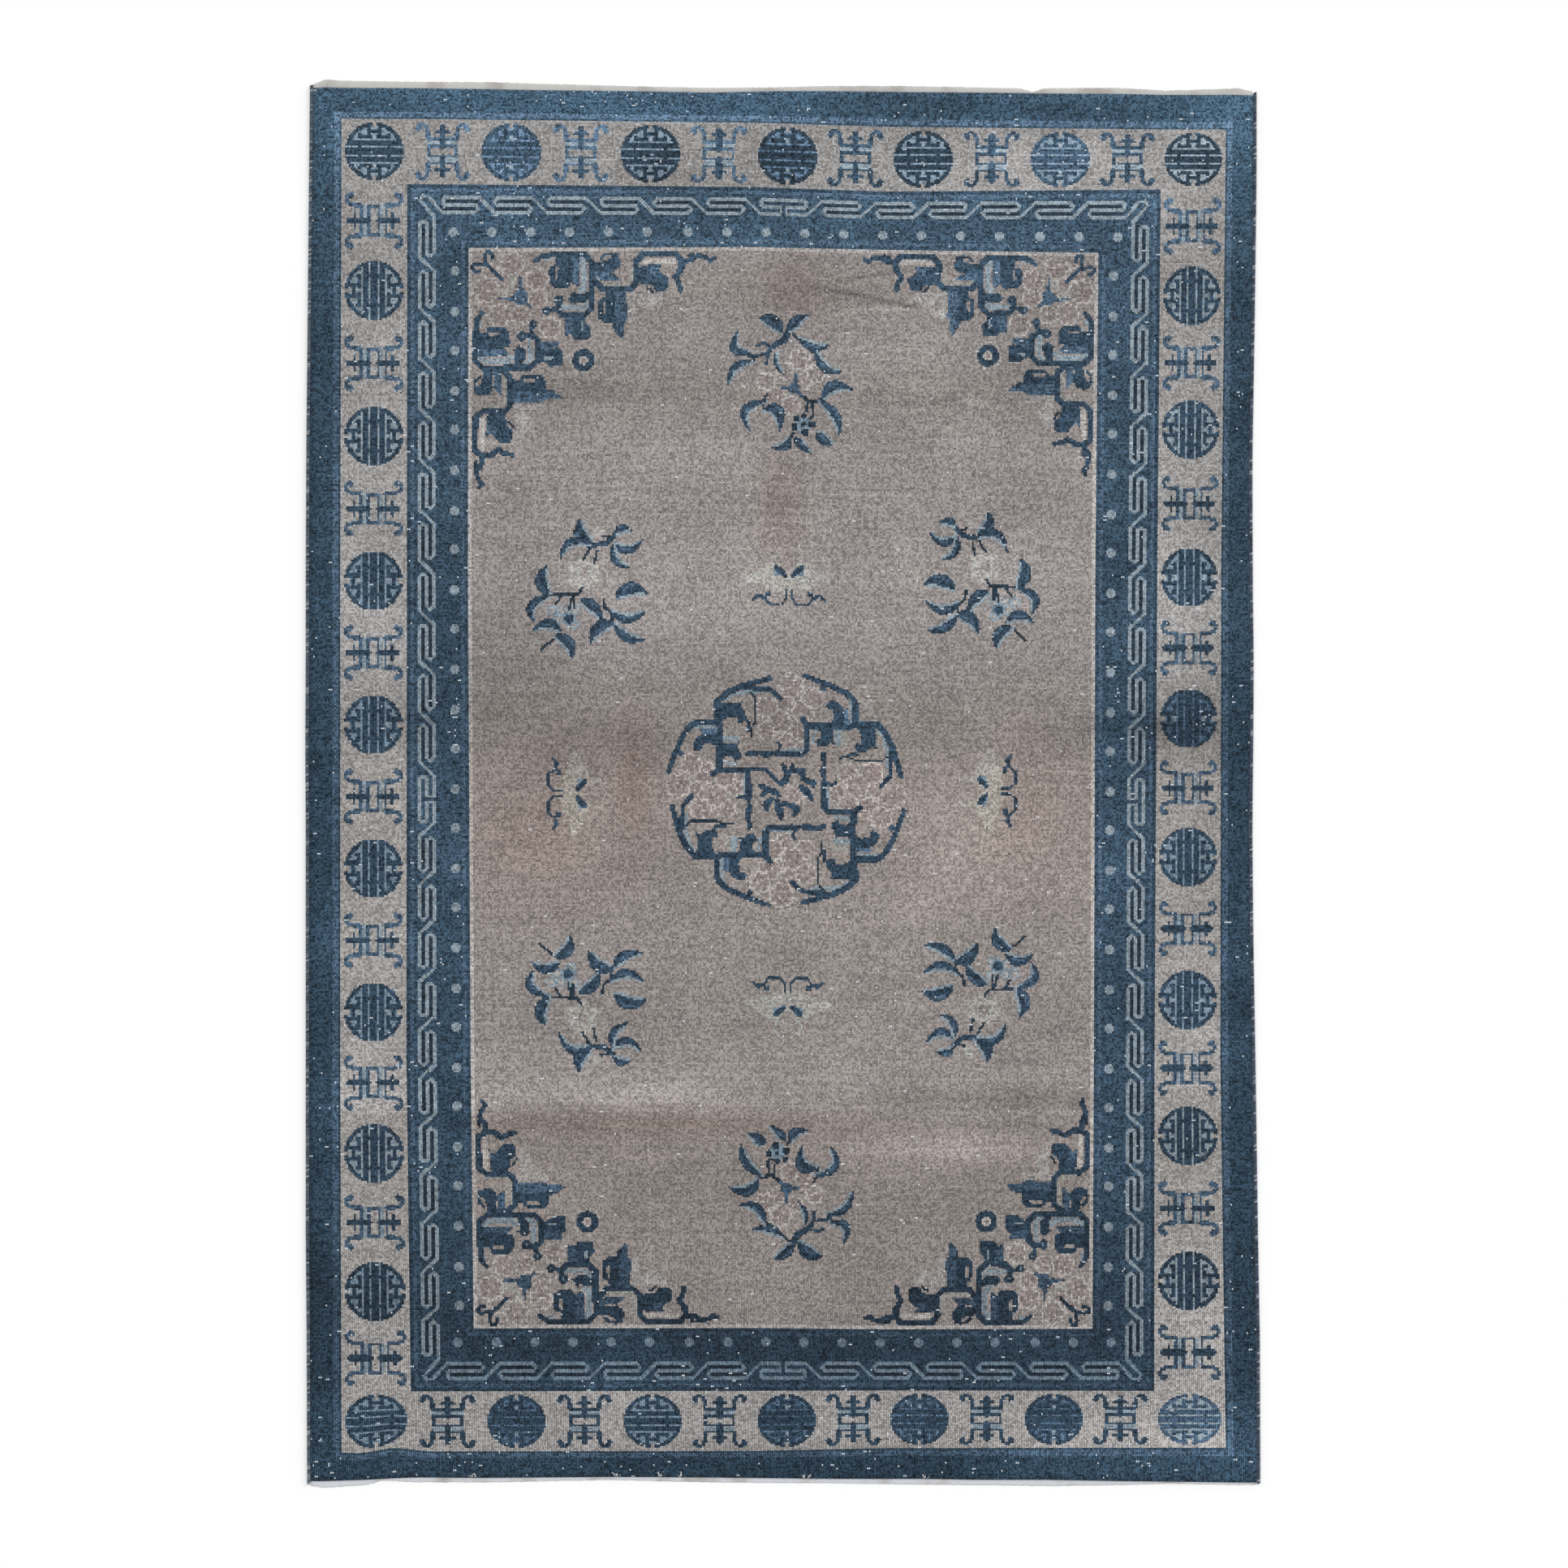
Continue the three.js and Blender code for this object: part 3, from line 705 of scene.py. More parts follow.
def add_piece(name, mesh, *nodes_replaced, slot="wool_pile"):
    """Puts a finished mesh in the scene, riding on the rug's one body."""
    piece = add_object(name, mesh)
    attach(piece, "root")
    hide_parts(*nodes_replaced)
    return piece


columns = np.arange(0, KNOTS_ACROSS + 1, BLOCK)
rows = np.arange(0, KNOT_ROWS + 1, BLOCK)
places = np.array([[knot_place(col, row) for col in columns] for row in rows])
lifts = np.array([[lift(x, y) for x, y in line] for line in places])
pile_top = np.dstack((places, lifts + PILE_HEIGHT))
pile_top[[0, -1], :, 2] -= SIDE_ROLL
pile_top[:, [0, -1], 2] -= SIDE_ROLL
pile_mesh, corner_places = closed_sheet("pile", pile_top, np.dstack((places, lifts)))
knot_grid = np.stack(np.meshgrid(columns, rows), -1).reshape(-1, 2)
knot_uvs = pile_mesh.uv_layers.new(name="knots")
knot_uvs.data.foreach_set("uv", knot_grid[corner_places].astype(np.float32).ravel())

# Four numbers for each square of the mesh hold its four rows of knots, one digit for a knot
DIGITS = 16  # more than there are yarns
square_rows, square_cols = KNOT_ROWS // BLOCK, KNOTS_ACROSS // BLOCK
blocks = chart.reshape(square_rows, BLOCK, square_cols, BLOCK).astype(int)
words = (blocks * DIGITS ** np.arange(BLOCK)).sum(-1).transpose(1, 0, 2).reshape(BLOCK, -1)
squares = np.arange(square_rows * square_cols).reshape(square_rows, square_cols)
at_walls = np.concatenate((squares[0], squares[:, -1], squares[-1, ::-1], squares[::-1, 0]))
for number, word in enumerate(words):
    knots = pile_mesh.attributes.new(f"knot_row_{number}", "FLOAT", "FACE")
    knots.data.foreach_set("value", np.concatenate((word, word, word[at_walls])).astype(np.float32))


def linear(colour):
    """An sRGB colour from 0 to 255 as Blender wants it."""
    parts = [c / 255 for c in colour]
    return (*[c / 12.92 if c <= 0.04045 else ((c + 0.055) / 1.055) ** 2.4 for c in parts], 1)


def maths(operation, swapped=False):
    """A method that adds a Math node on a value and one other, which comes first where they are swapped."""

    def add_node(value, other=0.0):
        first, second = (other, value) if swapped else (value, other)
        return value.tree.node("ShaderNodeMath", {"operation": operation}, {0: first, 1: second})

    return add_node


class Value:
    """A socket of a tree under construction, with arithmetic that adds Math nodes."""

    def __init__(self, tree, socket):
        self.tree = tree
        self.socket = socket

    __add__ = __radd__ = maths("ADD")
    __sub__ = maths("SUBTRACT")
    __rsub__ = maths("SUBTRACT", swapped=True)
    __mul__ = __rmul__ = maths("MULTIPLY")
    __truediv__ = maths("DIVIDE")
    __lt__ = maths("LESS_THAN")
    __gt__ = maths("GREATER_THAN")
    at_least = maths("MAXIMUM")
    floor = maths("FLOOR")
    fraction = maths("FRACT")
    cosine = maths("COSINE")
    magnitude = maths("ABSOLUTE")

    def ridge(self):
        """Rises from 0 to 1 and falls back once in every whole number."""
        part = self.fraction()
        return part * (1 - part) * 4

    def above(self, low, high):
        """0 below one number, 1 above another, and even between them."""
        inputs = {"Value": self, "From Min": low, "From Max": high}
        return self.tree.node("ShaderNodeMapRange", {"clamp": True}, inputs)


class Tree:
    """A node tree, built node by node."""

    def __init__(self, tree):
        self.tree = tree

    def node(self, kind, settings, inputs, output=0):
        """A node's type, its settings, and the values or links of its sockets, by name or by number."""
        node = self.tree.nodes.new(kind)
        for name, value in settings.items():
            if name == "stops":
                ramp = node.color_ramp.elements
                while len(ramp) < len(value):
                    ramp.new(0.5)
                for element, (position, colour) in zip(ramp, value):
                    element.position = position
                    element.color = colour
            elif name == "interpolation":
                node.color_ramp.interpolation = value
            else:
                setattr(node, name, value)
        for name, value in inputs.items():
            self.feed(node.inputs[name], value)
        return Value(self, node.outputs[output])

    def feed(self, socket, value):
        if isinstance(value, Value):
            self.tree.links.new(value.socket, socket)
        else:
            socket.default_value = value

    def vector(self, x, y, z=0.0):
        return self.node("ShaderNodeCombineXYZ", {}, {"X": x, "Y": y, "Z": z})


class Finish(Tree):
    """A material. What is the same all over the surface is given with its name."""

    def __init__(self, name, **constants):
        self.material = bpy.data.materials.new(name)
        self.material.use_nodes = True
        super().__init__(self.material.node_tree)
        self.shader = next(node for node in self.tree.nodes if node.type == "BSDF_PRINCIPLED")
        self.shade(**constants)

    def shade(self, **inputs):
        for name, value in inputs.items():
            self.feed(self.shader.inputs[name.replace("_", " ")], value)

    def parts(self, vector):
        """The three numbers of a vector."""
        first = self.node("ShaderNodeSeparateXYZ", {}, {"Vector": vector})
        return [Value(self, socket) for socket in first.socket.node.outputs]

    def place(self):
        return self.node("ShaderNodeTexCoord", {}, {}, "Object")

    def attribute(self, name):
        return self.node("ShaderNodeAttribute", {"attribute_name": name}, {}, "Fac")

    def noise(self, vector, scale, detail=2.0):
        return self.node("ShaderNodeTexNoise", {}, {"Vector": vector, "Scale": scale, "Detail": detail})

    def random(self, vector):
        """A number of its own for each whole place."""
        return self.node("ShaderNodeTexWhiteNoise", {}, {"Vector": vector})

    def ramp(self, stops, place, interpolation="LINEAR"):
        settings = {"stops": stops, "interpolation": interpolation}
        return self.node("ShaderNodeValToRGB", settings, {"Fac": place})

    def mixed(self, share, first, second, way="MIX"):
        settings = {"data_type": "RGBA", "blend_type": way, "clamp_factor": True}
        return self.node("ShaderNodeMix", settings, {0: share, 6: first, 7: second}, 2)

    def scaled(self, colour, tone):
        return self.node("ShaderNodeVectorMath", {"operation": "SCALE"}, {0: colour, 3: tone})

    def bump(self, height, distance, strength=1.0):
        return self.node("ShaderNodeBump", {}, {"Strength": strength, "Distance": distance, "Height": height})


def halved(tone, warmth):
    """A tint for a ramp, which holds no number over 1: half a tone, warmer or colder."""
    return tone * (1 + warmth) / 2, tone / 2, tone * (1 - warmth) / 2, 1


# Wool was dyed in small lots, so the ground changes tone from one run of rows to the next
FIELD_LOTS = [  # row of knots, tone and warmth
    (86, 0.84, 0.01), (132, 0.86, 0.02), (178, 0.88, 0.035), (198, 0.92, 0.03), (211, 1.18, 0.01),
    (228, 1.08, 0.01), (252, 0.97, 0.01), (300, 1.01, 0.02), (345, 0.97, 0.03), (382, 1.02, 0.03),
    (408, 0.86, 0.02), (430, 0.94, 0.01), (456, 1.06, 0.0), (496, 1.2, 0.0), (535, 1.06, 0.0),
    (562, 1.1, 0.0), (592, 0.95, 0.01), (618, 1.04, 0.0), (652, 0.9, 0.01), (672, 0.98, 0.0),
]
BLUE_LOTS = [
    (0, 0.80, -0.03), (46, 0.74, -0.03), (54, 0.62, -0.03), (84, 0.55, -0.02), (118, 0.6, -0.02),
    (160, 0.8, -0.03), (230, 0.96, -0.02), (380, 0.98, -0.02), (520, 1.05, 0.0), (650, 1.12, 0.0),
    (706, 1.4, 0.0), (742, 1.8, 0.0),
]

# Sun, feet and spills have bleached or darkened some places more than the rest
MARKS = [  # middle and half size in knots, tone, and warmth
    (154, 408, 60, 30, -0.08, 0.02), (123, 352, 46, 40, -0.06, 0.06), (112, 440, 40, 30, -0.14, 0.0),
    (372, 352, 60, 46, 0.2, 0.02), (380, 420, 70, 30, 0.08, 0.0), (256, 530, 14, 34, -0.22, 0.06),
    (262, 650, 18, 18, -0.22, 0.06), (176, 382, 11, 32, -0.2, 0.08), (108, 482, 30, 50, -0.16, 0.0),
    (350, 184, 58, 9, 0.5, 0.0), (392, 211, 112, 6, -0.32, 0.02), (190, 197, 100, 7, -0.2, 0.06),
    (160, 212, 84, 5, 0.16, 0.0), (120, 640, 40, 22, -0.05, 0.02), (330, 620, 70, 26, 0.08, 0.0),
    (462, 414, 50, 14, -0.42, 0.0), (35, 509, 26, 34, -0.2, 0.0), (48, 412, 44, 16, -0.14, 0.0),
    (392, 722, 62, 14, 0.3, 0.0), (350, 703, 50, 8, 0.25, 0.0), (197, 712, 60, 28, -0.14, 0.0),
    (480, 12, 70, 26, 0.4, 0.0), (250, 8, 120, 12, -0.3, 0.0), (320, 752, 60, 14, -0.34, 0.0),
    (420, 750, 44, 9, -0.4, 0.0), (492, 735, 34, 40, 0.15, 0.0), (505, 560, 16, 120, -0.08, 0.0),
    (100, 745, 70, 14, 0.08, 0.0), (392, 380, 26, 50, -0.05, 0.03), (490, 380, 18, 260, -0.1, 0.0),
    (6, 388, 12, 20, -0.3, 0.0), (492, 245, 26, 14, 0.3, 0.0), (190, 655, 56, 12, 0.16, 0.0),
    (135, 593, 62, 7, -0.18, 0.0), (490, 84, 36, 70, 0.26, 0.0), (22, 190, 40, 70, 0.06, 0.0),
    (205, 560, 40, 30, 0.08, 0.0), (246, 76, 170, 18, -0.2, 0.0), (330, 657, 46, 9, 0.14, 0.0),
    (216, 352, 12, 10, 0.2, 0.0), (212, 470, 40, 40, 0.05, 0.0), (300, 300, 60, 40, 0.06, 0.0),
]
MARK_FALL = 1.2  # how soon a mark fades out
marks_tone, marks_warmth = np.ones(len(knot_grid)), np.zeros(len(knot_grid))
for col, row, half_wide, half_long, tone, warmth in MARKS:
    aside = (knot_grid[:, 0] - col) / half_wide
    along = (knot_grid[:, 1] - row) / half_long
    strength = np.exp(-MARK_FALL * (aside ** 2 + along ** 2))
    marks_tone += tone * strength
    marks_warmth += warmth * strength
for name, values in (("marks_tone", marks_tone), ("marks_warmth", marks_warmth)):
    marks = pile_mesh.attributes.new(name, "FLOAT", "POINT")
    marks.data.foreach_set("value", np.concatenate((values, values)).astype(np.float32))

# Sharp folds from the time the rug lay rolled: their shade and highlight are painted into the wool, each as a
# line that runs through a few rows of knots
PAINTED_CREASE_LINES = [  # from and to in knots, how far it bows, half its width, and its tone: below 0 painted shade, above 0 painted highlight
    ((270, 650.5), (338, 637.5), 2.0, 2.2, -0.42), ((279, 634.5), (352, 635), 5.0, 2.6, 0.3),
    ((289, 654.5), (316, 659), 1.0, 2.0, -0.36), ((289, 652), (316, 656.5), 1.0, 2.0, 0.2),
    ((334, 589), (356, 592), 0.5, 2.0, -0.34), ((352, 591.5), (376, 586), 0.5, 2.4, 0.28),
    ((312, 594.5), (346, 596), 1.0, 3.0, 0.18), ((181, 94), (183, 190), 1.0, 1.4, 0.22),
]

wool = Finish("worn wool pile", Specular_IOR_Level=0.12, Sheen_Weight=0.03, Sheen_Roughness=0.6)
across_knots, along_knots, _ = wool.parts(wool.node("ShaderNodeUVMap", {"uv_map": "knots"}, {}))
knot_col, knot_row = across_knots.floor(), along_knots.floor()
col_in_square = knot_col - (knot_col / BLOCK).floor() * BLOCK
row_in_square = knot_row - (knot_row / BLOCK).floor() * BLOCK
word = 0
for number in range(BLOCK):
    held = wool.attribute(f"knot_row_{number}")
    word = held * (row_in_square > number - 0.5) * (row_in_square < number + 0.5) + word
for number in range(1, BLOCK):
    word = word * (1 - (col_in_square > number - 0.5) * (1 - 1 / DIGITS))
word = word.floor()
digit = word - (word / DIGITS).floor() * DIGITS
yarn_stops = [(number / DIGITS, linear(colour)) for number, colour in enumerate(YARNS.values())]
dyed = wool.ramp(yarn_stops, (digit + 0.5) / DIGITS, "CONSTANT")

# The blues are told from the other yarns by how dark they are, and the cool ones by how blue
is_blue = 1 - wool.node("ShaderNodeRGBToBW", {}, {"Color": dyed}).above(0.13, 0.2)
red, _, blue = wool.parts(dyed)
is_cool = (blue - red).above(0.015, 0.035)


def in_knots(wide, long, layer=0.0, detail=2.0):
    """Noise that runs with the weave. It is given the pace at which it changes across and along."""
    return wool.noise(wool.vector(across_knots * wide, along_knots * long, layer), 1.0, detail)


LOT_WANDER = 26  # how many rows of knots the edge of a dye lot strays
WOOL_TONE = 1.8  # a little under 2, because the tints of the lots are halved
lot_row = (along_knots + (in_knots(0.012, 0.004) - 0.5) * LOT_WANDER) / KNOT_ROWS
lots = [wool.ramp([(row / KNOT_ROWS, halved(tone, warmth)) for row, tone, warmth in lot], lot_row)
        for lot in (FIELD_LOTS, BLUE_LOTS)]
colour = wool.mixed(1.0, dyed, wool.mixed(is_blue * 0.5 + is_cool * 0.5, *lots), "MULTIPLY")

streaks = in_knots(0.014, 0.4, detail=3.0)
threads = in_knots(0.17, 0.9, 2.0)
patches = in_knots(0.022, 0.022, 4.0, 5.0)
own = wool.random(wool.vector(knot_col, knot_row))
ribs = across_knots.ridge()
tufts = ribs * along_knots.ridge()
fibres = wool.noise(wool.place(), 700.0, 3.0)
wear = wool.attribute("marks_tone")
warmth = wool.attribute("marks_warmth")
colour = wool.mixed(1.0, colour, wool.vector(1 + warmth, 1 - warmth * 0.2, 1 - warmth * 0.6), "MULTIPLY")
# The creases' painted shade and painted highlight, each a soft band of tone along its line
crease_shade_and_highlight = 1
here = (across_knots, along_knots)
for start, end, bow, half_wide, tone in PAINTED_CREASE_LINES:
    run, side = (1, 0) if abs(end[1] - start[1]) > abs(end[0] - start[0]) else (0, 1)
    share = here[run].above(start[run], end[run])
    line = start[side] + share * (end[side] - start[side]) + share.ridge() * bow
    aside = (here[side] - line).magnitude() / half_wide
    crease_shade_and_highlight = (1 - aside).at_least(0) * share.ridge().above(0, 0.5) * tone + crease_shade_and_highlight
# Uneven tone, with the creases' painted shade and highlight in it
uneven = crease_shade_and_highlight * (1 + (streaks - 0.5) * 0.5) * (1 + (patches - 0.5) * (0.5 + is_blue * 0.7)) * wear
grain = 1 + (own - 0.5) * (0.8 + is_blue * 0.45) + (fibres - 0.5) * (1.5 + is_blue * 1.2)
grain = grain + (threads - 0.5) * (0.5 + is_blue * 0.9)
# Painted shade between the knots: each tuft is lighter in its middle, and towards the bottom end the gaps
# between the columns of knots are darker still
knot_gap_shade = 0.86 + tufts * 0.3 + (ribs - 0.5) * along_knots.above(170, 20) * 0.9
colour = wool.scaled(colour, WOOL_TONE * uneven * grain.at_least(0.12) * knot_gap_shade)

# Where the pile is worn through, small white bits of the cotton foundation show, most of all in the blue
BARE_COTTON = (222, 228, 233)
SOIL = (62, 56, 54)
cell = wool.vector((across_knots / 2).floor(), knot_row, 5.0)
crowded = in_knots(0.03, 0.03, 9.0, 3.0)
chance = 0.003 + is_blue * 0.005 + crowded.above(0.55, 0.72) * (0.012 + is_blue * 0.04)
chance = chance + along_knots.above(22, 4) * 0.015
bare = (wool.random(cell) < chance) * tufts.above(0.25, 0.6) * (own > 0.45)
colour = wool.mixed(bare * 0.85, colour, linear(BARE_COTTON))
soiled = wool.random(wool.vector(knot_col, knot_row, 8.0)) > 0.9985
colour = wool.mixed(soiled * 0.6, colour, linear(SOIL))

height = tufts * 0.6 + ribs * 0.25 + own * 0.3 + fibres * 0.5
wool.shade(Base_Color=colour, Roughness=0.86 + fibres * 0.12, Normal=wool.bump(height, 0.0009, 0.7))
pile_mesh.materials.append(wool.material)
pile = add_piece("pile", pile_mesh, "rug_body")


# THE WOVEN ENDS
# Past the last row of knots the weaver goes on with plain cloth, as a narrow band that holds the knots. It
# is turned and stitched down, thin and wavy, and lies flat on the floor.

WEB_STEP = 0.004
WEB_PROFILE = [  # the share of the way out, and how high the cloth stands there
    (0, 0.0024), (0.22, 0.0026), (0.5, 0.0025), (0.75, 0.0023), (0.93, 0.0017), (1, 0.0007)]
WEB_SIDES_AT = 1.466  # how far along the rug a web's two sides are read
WEB_SIDE_GAP = 0.0008
WEB_TUCK = 0.0015  # how far it goes in under the last knots
RAG = 0.0006
STITCH_ACROSS, STITCH_ALONG, PICK_PITCH = 0.0046, 0.009, 0.0026
CLOTH_BELOW, CLOTH_ABOVE, CLOTH_STAIN = (208, 211, 216), (193, 192, 189), (160, 153, 146)

cloth = Finish("plain weave", Specular_IOR_Level=0.2)
x, y, _ = cloth.parts(cloth.place())
soft = cloth.noise(cloth.place(), 14.0, 3.0)
grain = cloth.noise(cloth.place(), 800.0, 3.0)
stitches = (x / STITCH_ACROSS + y / STITCH_ALONG + soft * 3).ridge()
picks = (y / PICK_PITCH).ridge()
cloth_tone = (0.62 + stitches * 0.4 + picks * 0.1) * (0.5 + grain * 0.9)
ends = cloth.mixed(y.above(-1.0, 1.0), linear(CLOTH_BELOW), linear(CLOTH_ABOVE))
stained = cloth.mixed(soft.above(0.5, 0.75), ends, linear(CLOTH_STAIN))
cloth.shade(Base_Color=cloth.scaled(stained, cloth_tone), Roughness=0.9,
            Normal=cloth.bump(stitches * 0.5 + picks * 0.3 + grain * 0.4, 0.0008, 0.8))

chance_of = np.random.default_rng(11)
for name, way in (("web_top", 1), ("web_bottom", -1)):
    left, right = (reach_across(rug_solid, way * WEB_SIDES_AT, WEB_PROBE, side) for side in (-1, 1))
    xs = np.linspace(left + WEB_SIDE_GAP, right - WEB_SIDE_GAP, round((right - left) / WEB_STEP))
    foot = np.array([reach_along(x, PILE_PROBE, way) for x in xs]) - way * WEB_TUCK
    edge = np.array([reach_along(x, WEB_PROBE, way) for x in xs]) + chance_of.uniform(-RAG, RAG, len(xs))
    web_top = np.array([
        [(x, start + (end - start) * share, high) for x, start, end in zip(xs, foot, edge)]
        for share, high in WEB_PROFILE[::way]
    ])
    web_mesh, _ = closed_sheet(name, web_top, web_top * (1, 1, 0))
    web_mesh.materials.append(cloth.material)
    add_piece(name, web_mesh, "rug_body")


# THE OVERCAST SIDES
# The outer warps of each side are bound into a cord with a separate yarn, wrapped round and round, so the
# edge doesn't fray. The left side was bound in grey-blue, and the right one in a darker yarn.


class Maker(Tree):
    """A Geometry Nodes tree that takes a mesh, a material and some sizes and gives a mesh."""

    def __init__(self, name, sizes):
        super().__init__(bpy.data.node_groups.new(name, "GeometryNodeTree"))
        face = self.tree.interface
        face.new_socket(name="Geometry", in_out="OUTPUT", socket_type="NodeSocketGeometry")
        face.new_socket(name="Geometry", in_out="INPUT", socket_type="NodeSocketGeometry")
        material = face.new_socket(name="Material", in_out="INPUT", socket_type="NodeSocketMaterial")
        self.inputs = {"Material": material.identifier}
        for size, value in sizes.items():
            kind = "NodeSocketInt" if isinstance(value, int) else "NodeSocketFloat"
            socket = face.new_socket(name=size, in_out="INPUT", socket_type=kind)
            socket.default_value = value
            self.inputs[size] = socket.identifier
        self.start = self.tree.nodes.new("NodeGroupInput")

    def given(self, name):
        return Value(self, self.start.outputs[name])

    def own(self, low, high, seed):
        """A number between two others, of its own for each stitch or thread."""
        inputs = {2: low, 3: high, "ID": self.node("GeometryNodeInputIndex", {}, {}), "Seed": seed}
        return self.node("FunctionNodeRandomValue", {"data_type": "FLOAT"}, inputs, 1)

    def oval(self, corners, width, height):
        """A closed curve, so wide and so high."""
        inputs = {"Resolution": corners, "Radius": 0.5}
        ring = self.node("GeometryNodeCurvePrimitiveCircle", {"mode": "RADIUS"}, inputs)
        inputs = {"Geometry": ring, "Scale": self.vector(width, height, 1.0)}
        return self.node("GeometryNodeTransform", {}, inputs)

    def drawn_out(self, path, section, caps=True):
        """A section that is swept along a path."""
        inputs = {"Curve": path, "Profile Curve": section, "Fill Caps": caps}
        return self.node("GeometryNodeCurveToMesh", {}, inputs)

    def ends_in(self, *parts):
        """Realize Instances and Set Material close every tree, because the export drops instances."""
        joined = self.tree.nodes.new("GeometryNodeJoinGeometry")
        for part in parts:
            self.feed(joined.inputs[0], part)
        real = self.node("GeometryNodeRealizeInstances", {}, {"Geometry": Value(self, joined.outputs[0])})
        inputs = {"Geometry": real, "Material": self.given("Material")}
        done = self.node("GeometryNodeSetMaterial", {}, inputs)
        self.feed(self.tree.nodes.new("NodeGroupOutput").inputs[0], done)

    def make(self, name, points, edges, material, **sizes):
        """Runs the tree on a line of points and gives the plain mesh that comes out."""
        line = bpy.data.meshes.new(name + " line")
        line.from_pydata(points, edges, [])
        carrier = add_object(name + " line", line)
        modifier = carrier.modifiers.new("maker", "NODES")
        modifier.node_group = self.tree
        modifier[self.inputs["Material"]] = material
        for size, value in sizes.items():
            modifier[self.inputs[size]] = value
        graph = bpy.context.evaluated_depsgraph_get()
        evaluated = carrier.evaluated_get(graph)
        mesh = bpy.data.meshes.new_from_object(evaluated, preserve_all_data_layers=True, depsgraph=graph)
        mesh.name = name
        mesh.materials.clear()  # the tree leaves an empty slot before its material
        mesh.materials.append(material)
        bpy.data.objects.remove(carrier)
        bpy.data.meshes.remove(line)
        return mesh


CORD_WIDTH = 0.0075
CORD_HEIGHT = 0.0070
STITCH_PITCH = 0.0046
STITCH_LEAN = 0.12  # how far one stitch may lean more or less than the next
CORD_POINTS = 40

overcast = Maker("overcast cord", {
    "Width": CORD_WIDTH, "Height": CORD_HEIGHT, "Pitch": STITCH_PITCH, "Yarn Width": 0.0038,
    "Yarn Thickness": 0.0022, "Slant": 0.45, "Seed": 3,
})
path = overcast.node("GeometryNodeMeshToCurve", {}, {"Mesh": overcast.given("Geometry")})
spaced = {"Curve": path, "Length": overcast.given("Pitch")}
turns = overcast.node("GeometryNodeResampleCurve", {"mode": "LENGTH"}, spaced)
thickness, slant, seed = [overcast.given(name) for name in ("Yarn Thickness", "Slant", "Seed")]
across = overcast.given("Width") - thickness
up = overcast.given("Height") - thickness
yarn = overcast.oval(6, thickness, overcast.given("Yarn Width"))
stitch = overcast.drawn_out(overcast.oval(12, across / slant.cosine(), up), yarn, caps=False)
upright = overcast.vector(math.pi / 2, 0.0, slant + overcast.own(-STITCH_LEAN, STITCH_LEAN, seed))
stitched = overcast.node("GeometryNodeInstanceOnPoints", {}, {
    "Points": turns, "Instance": stitch, "Rotation": upright})
kept = overcast.node("GeometryNodeStoreNamedAttribute", {"data_type": "FLOAT", "domain": "INSTANCE"}, {
    "Geometry": stitched, "Name": "stitch_shade", "Value": overcast.own(0.0, 1.0, seed + 1)})
core = overcast.drawn_out(path, overcast.oval(12, across, up))
overcast.ends_in(core, kept)

CORDS = [  # side, slot, way, and the yarn's darkest, usual and palest colours; the palest, on some stitches at random, is partly the yarn's own and partly painted highlight
    ("left", "overcast_blue", -1, (44, 58, 70), (82, 96, 108), (150, 157, 162)),
    ("right", "overcast_grey", 1, (40, 52, 68), (72, 84, 100), (156, 158, 170)),
]
for side, slot, way, dark, usual, pale in CORDS:
    binding = Finish(f"{side} binding yarn", Specular_IOR_Level=0.2, Sheen_Weight=0.05, Sheen_Roughness=0.5)
    # The palest stop is partly painted highlight on single stitches
    stops = [(0, linear(dark)), (0.35, linear(usual)), (0.75, linear(usual)), (1, linear(pale))]
    coloured = binding.ramp(stops, binding.attribute("stitch_shade"))
    hairs = binding.noise(binding.place(), 1100.0)
    binding.shade(Base_Color=binding.scaled(coloured, 0.7 + hairs * 0.6), Roughness=0.9,
                  Normal=binding.bump(hairs, 0.0005, 0.7))
    node = f"selvedge_{side}"
    low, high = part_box(node)
    cord_solid = solid_tree(node)
    ys = np.linspace(low.y + STITCH_PITCH / 2, high.y - STITCH_PITCH / 2, CORD_POINTS)
    outer = [reach_across(cord_solid, y, CORD_HEIGHT / 2, way) for y in ys]
    points = [(x - way * CORD_WIDTH / 2, y, CORD_HEIGHT / 2) for x, y in zip(outer, ys)]
    edges = [(number, number + 1) for number in range(CORD_POINTS - 1)]
    mesh = overcast.make(node + "_cord", points, edges, binding.material, Seed=3 + way)
    add_piece(node + "_cord", mesh, node, slot=slot)


# THE LOOSE WARPS
# At the bottom a few ends of the cotton warps have worked out from under the last knots. They lie in small
# tufts over the blue edge of the pile.

FRAYS = [(-0.660, 5), (-0.354, 6), (-0.262, 4), (-0.221, 5), (0.048, 6), (0.304, 5)]  # where across, how many
FRAY_ROOM = 0.012  # how wide a tuft spreads
FRAY_INSET = 0.0016  # how far in from the pile's end it starts
FRAY_SINK = 0.0001
COTTON_DARK, COTTON_PALE = (210, 209, 204), (238, 238, 235)

warps = Maker("loose warps", {
    "Thread Width": 0.0008, "Shortest": 0.6, "Longest": 1.4, "Spread": 1.1, "Seed": 5,
})
bent = warps.node("GeometryNodeCurveQuadraticBezier", {}, {
    "Resolution": 6, "Start": (0, 0, 0), "Middle": (0.0018, 0.004, 0.0016), "End": (-0.0008, 0.0078, 0.0002)})
thread_width, spread, seed = [warps.given(name) for name in ("Thread Width", "Spread", "Seed")]
strand = warps.drawn_out(bent, warps.oval(5, thread_width, thread_width))
facing = warps.vector(0.0, 0.0, warps.own(spread * -1.0, spread, seed))
long = warps.own(warps.given("Shortest"), warps.given("Longest"), seed + 1)
warps.ends_in(warps.node("GeometryNodeInstanceOnPoints", {}, {
    "Points": warps.given("Geometry"), "Instance": strand, "Rotation": facing, "Scale": long}))

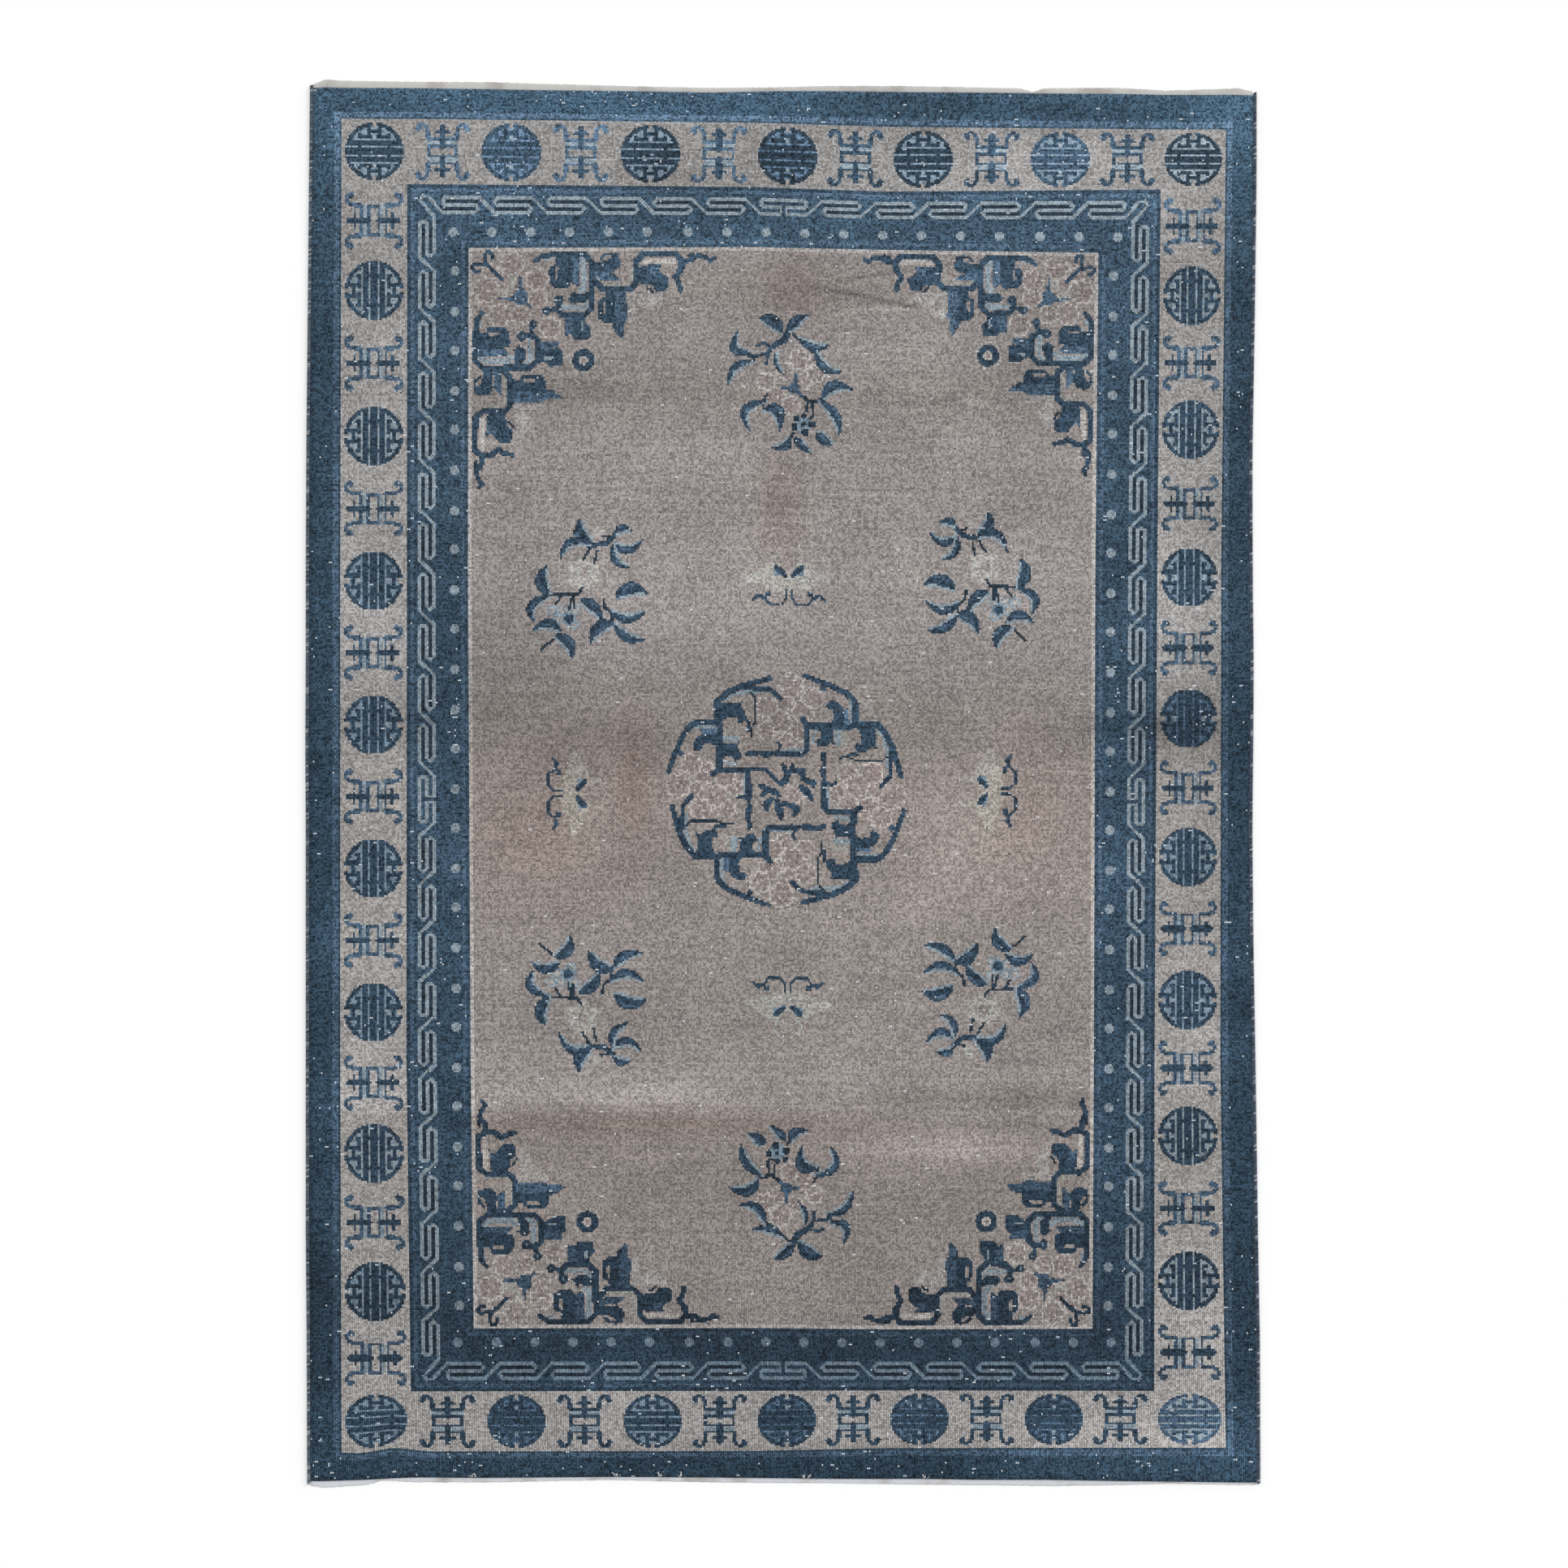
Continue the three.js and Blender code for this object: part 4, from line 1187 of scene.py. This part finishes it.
cotton = Finish("bare cotton warp", Roughness=0.9)
lint = cotton.noise(cotton.place(), 1400.0)
cotton.shade(Base_Color=cotton.mixed(lint.above(0.3, 0.7), linear(COTTON_DARK), linear(COTTON_PALE)),
             Normal=cotton.bump(lint, 0.0003, 0.6))
roots = []
for middle, count in FRAYS:
    for x in middle + chance_of.uniform(-0.5, 0.5, count) * FRAY_ROOM:
        roots.append((x, reach_along(x, PILE_PROBE, -1) + FRAY_INSET, PILE_HEIGHT - FRAY_SINK))
fray_mesh = warps.make("loose_warps", roots, [], cotton.material)
frays = add_piece("loose_warps", fray_mesh, "rug_body")


# THE FLOOR, THE LIGHT AND THE CAMERA
# A plain near-white floor, a broad soft light overhead, a lower one beside it that shows the ripples, and a
# long lens straight above, as in the photo.

FLOOR_HALF = 15
FLOOR_DROP = 0.0003  # just under the rug, so the two never share a plane
FLOOR_COLOUR = (240, 240, 240)
corners = [(x * FLOOR_HALF, y * FLOOR_HALF, -FLOOR_DROP) for x, y in ((-1, -1), (1, -1), (1, 1), (-1, 1))]
floor_mesh = bpy.data.meshes.new("floor")
floor_mesh.from_pydata(corners, [], [(0, 1, 2, 3)])
floor_mesh.materials.append(Finish("pale floor", Base_Color=linear(FLOOR_COLOUR), Roughness=0.8).material)
floor = add_object("floor", floor_mesh)
floor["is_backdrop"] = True

CAMERA_HEIGHT = 12.0
CAMERA_REACH = 100
FRAME_WIDTH = 3.3424
PHOTO_MIDDLE = (0.0026, -0.0009)
camera_data = bpy.data.cameras.new("camera")
camera_data.lens = camera_data.sensor_width * CAMERA_HEIGHT / FRAME_WIDTH
camera_data.clip_end = CAMERA_REACH
camera = add_object("camera", camera_data)
camera.location = (*PHOTO_MIDDLE, CAMERA_HEIGHT)
bpy.context.scene.camera = camera

LIGHTS = [  # from where, how strong, and how wide in degrees
    ("overhead light", (-0.3, 0.8, 3), 1.35, 50),
    ("low light", (2, 1.6, 1.0), 1.2, 40),
]
for name, where, strength, wide in LIGHTS:
    light_data = bpy.data.lights.new(name, "SUN")
    light_data.energy = strength
    light_data.angle = math.radians(wide)
    light = add_object(name, light_data)
    light.rotation_euler = Vector(where).to_track_quat("Z", "Y").to_euler()

studio = bpy.data.worlds.new("studio")
studio.use_nodes = True
background = studio.node_tree.nodes["Background"].inputs
background["Color"].default_value = (1, 1, 1, 1)
background["Strength"].default_value = 0.6
bpy.context.scene.world = studio
bpy.context.scene.view_settings.view_transform = "Standard"

low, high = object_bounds()
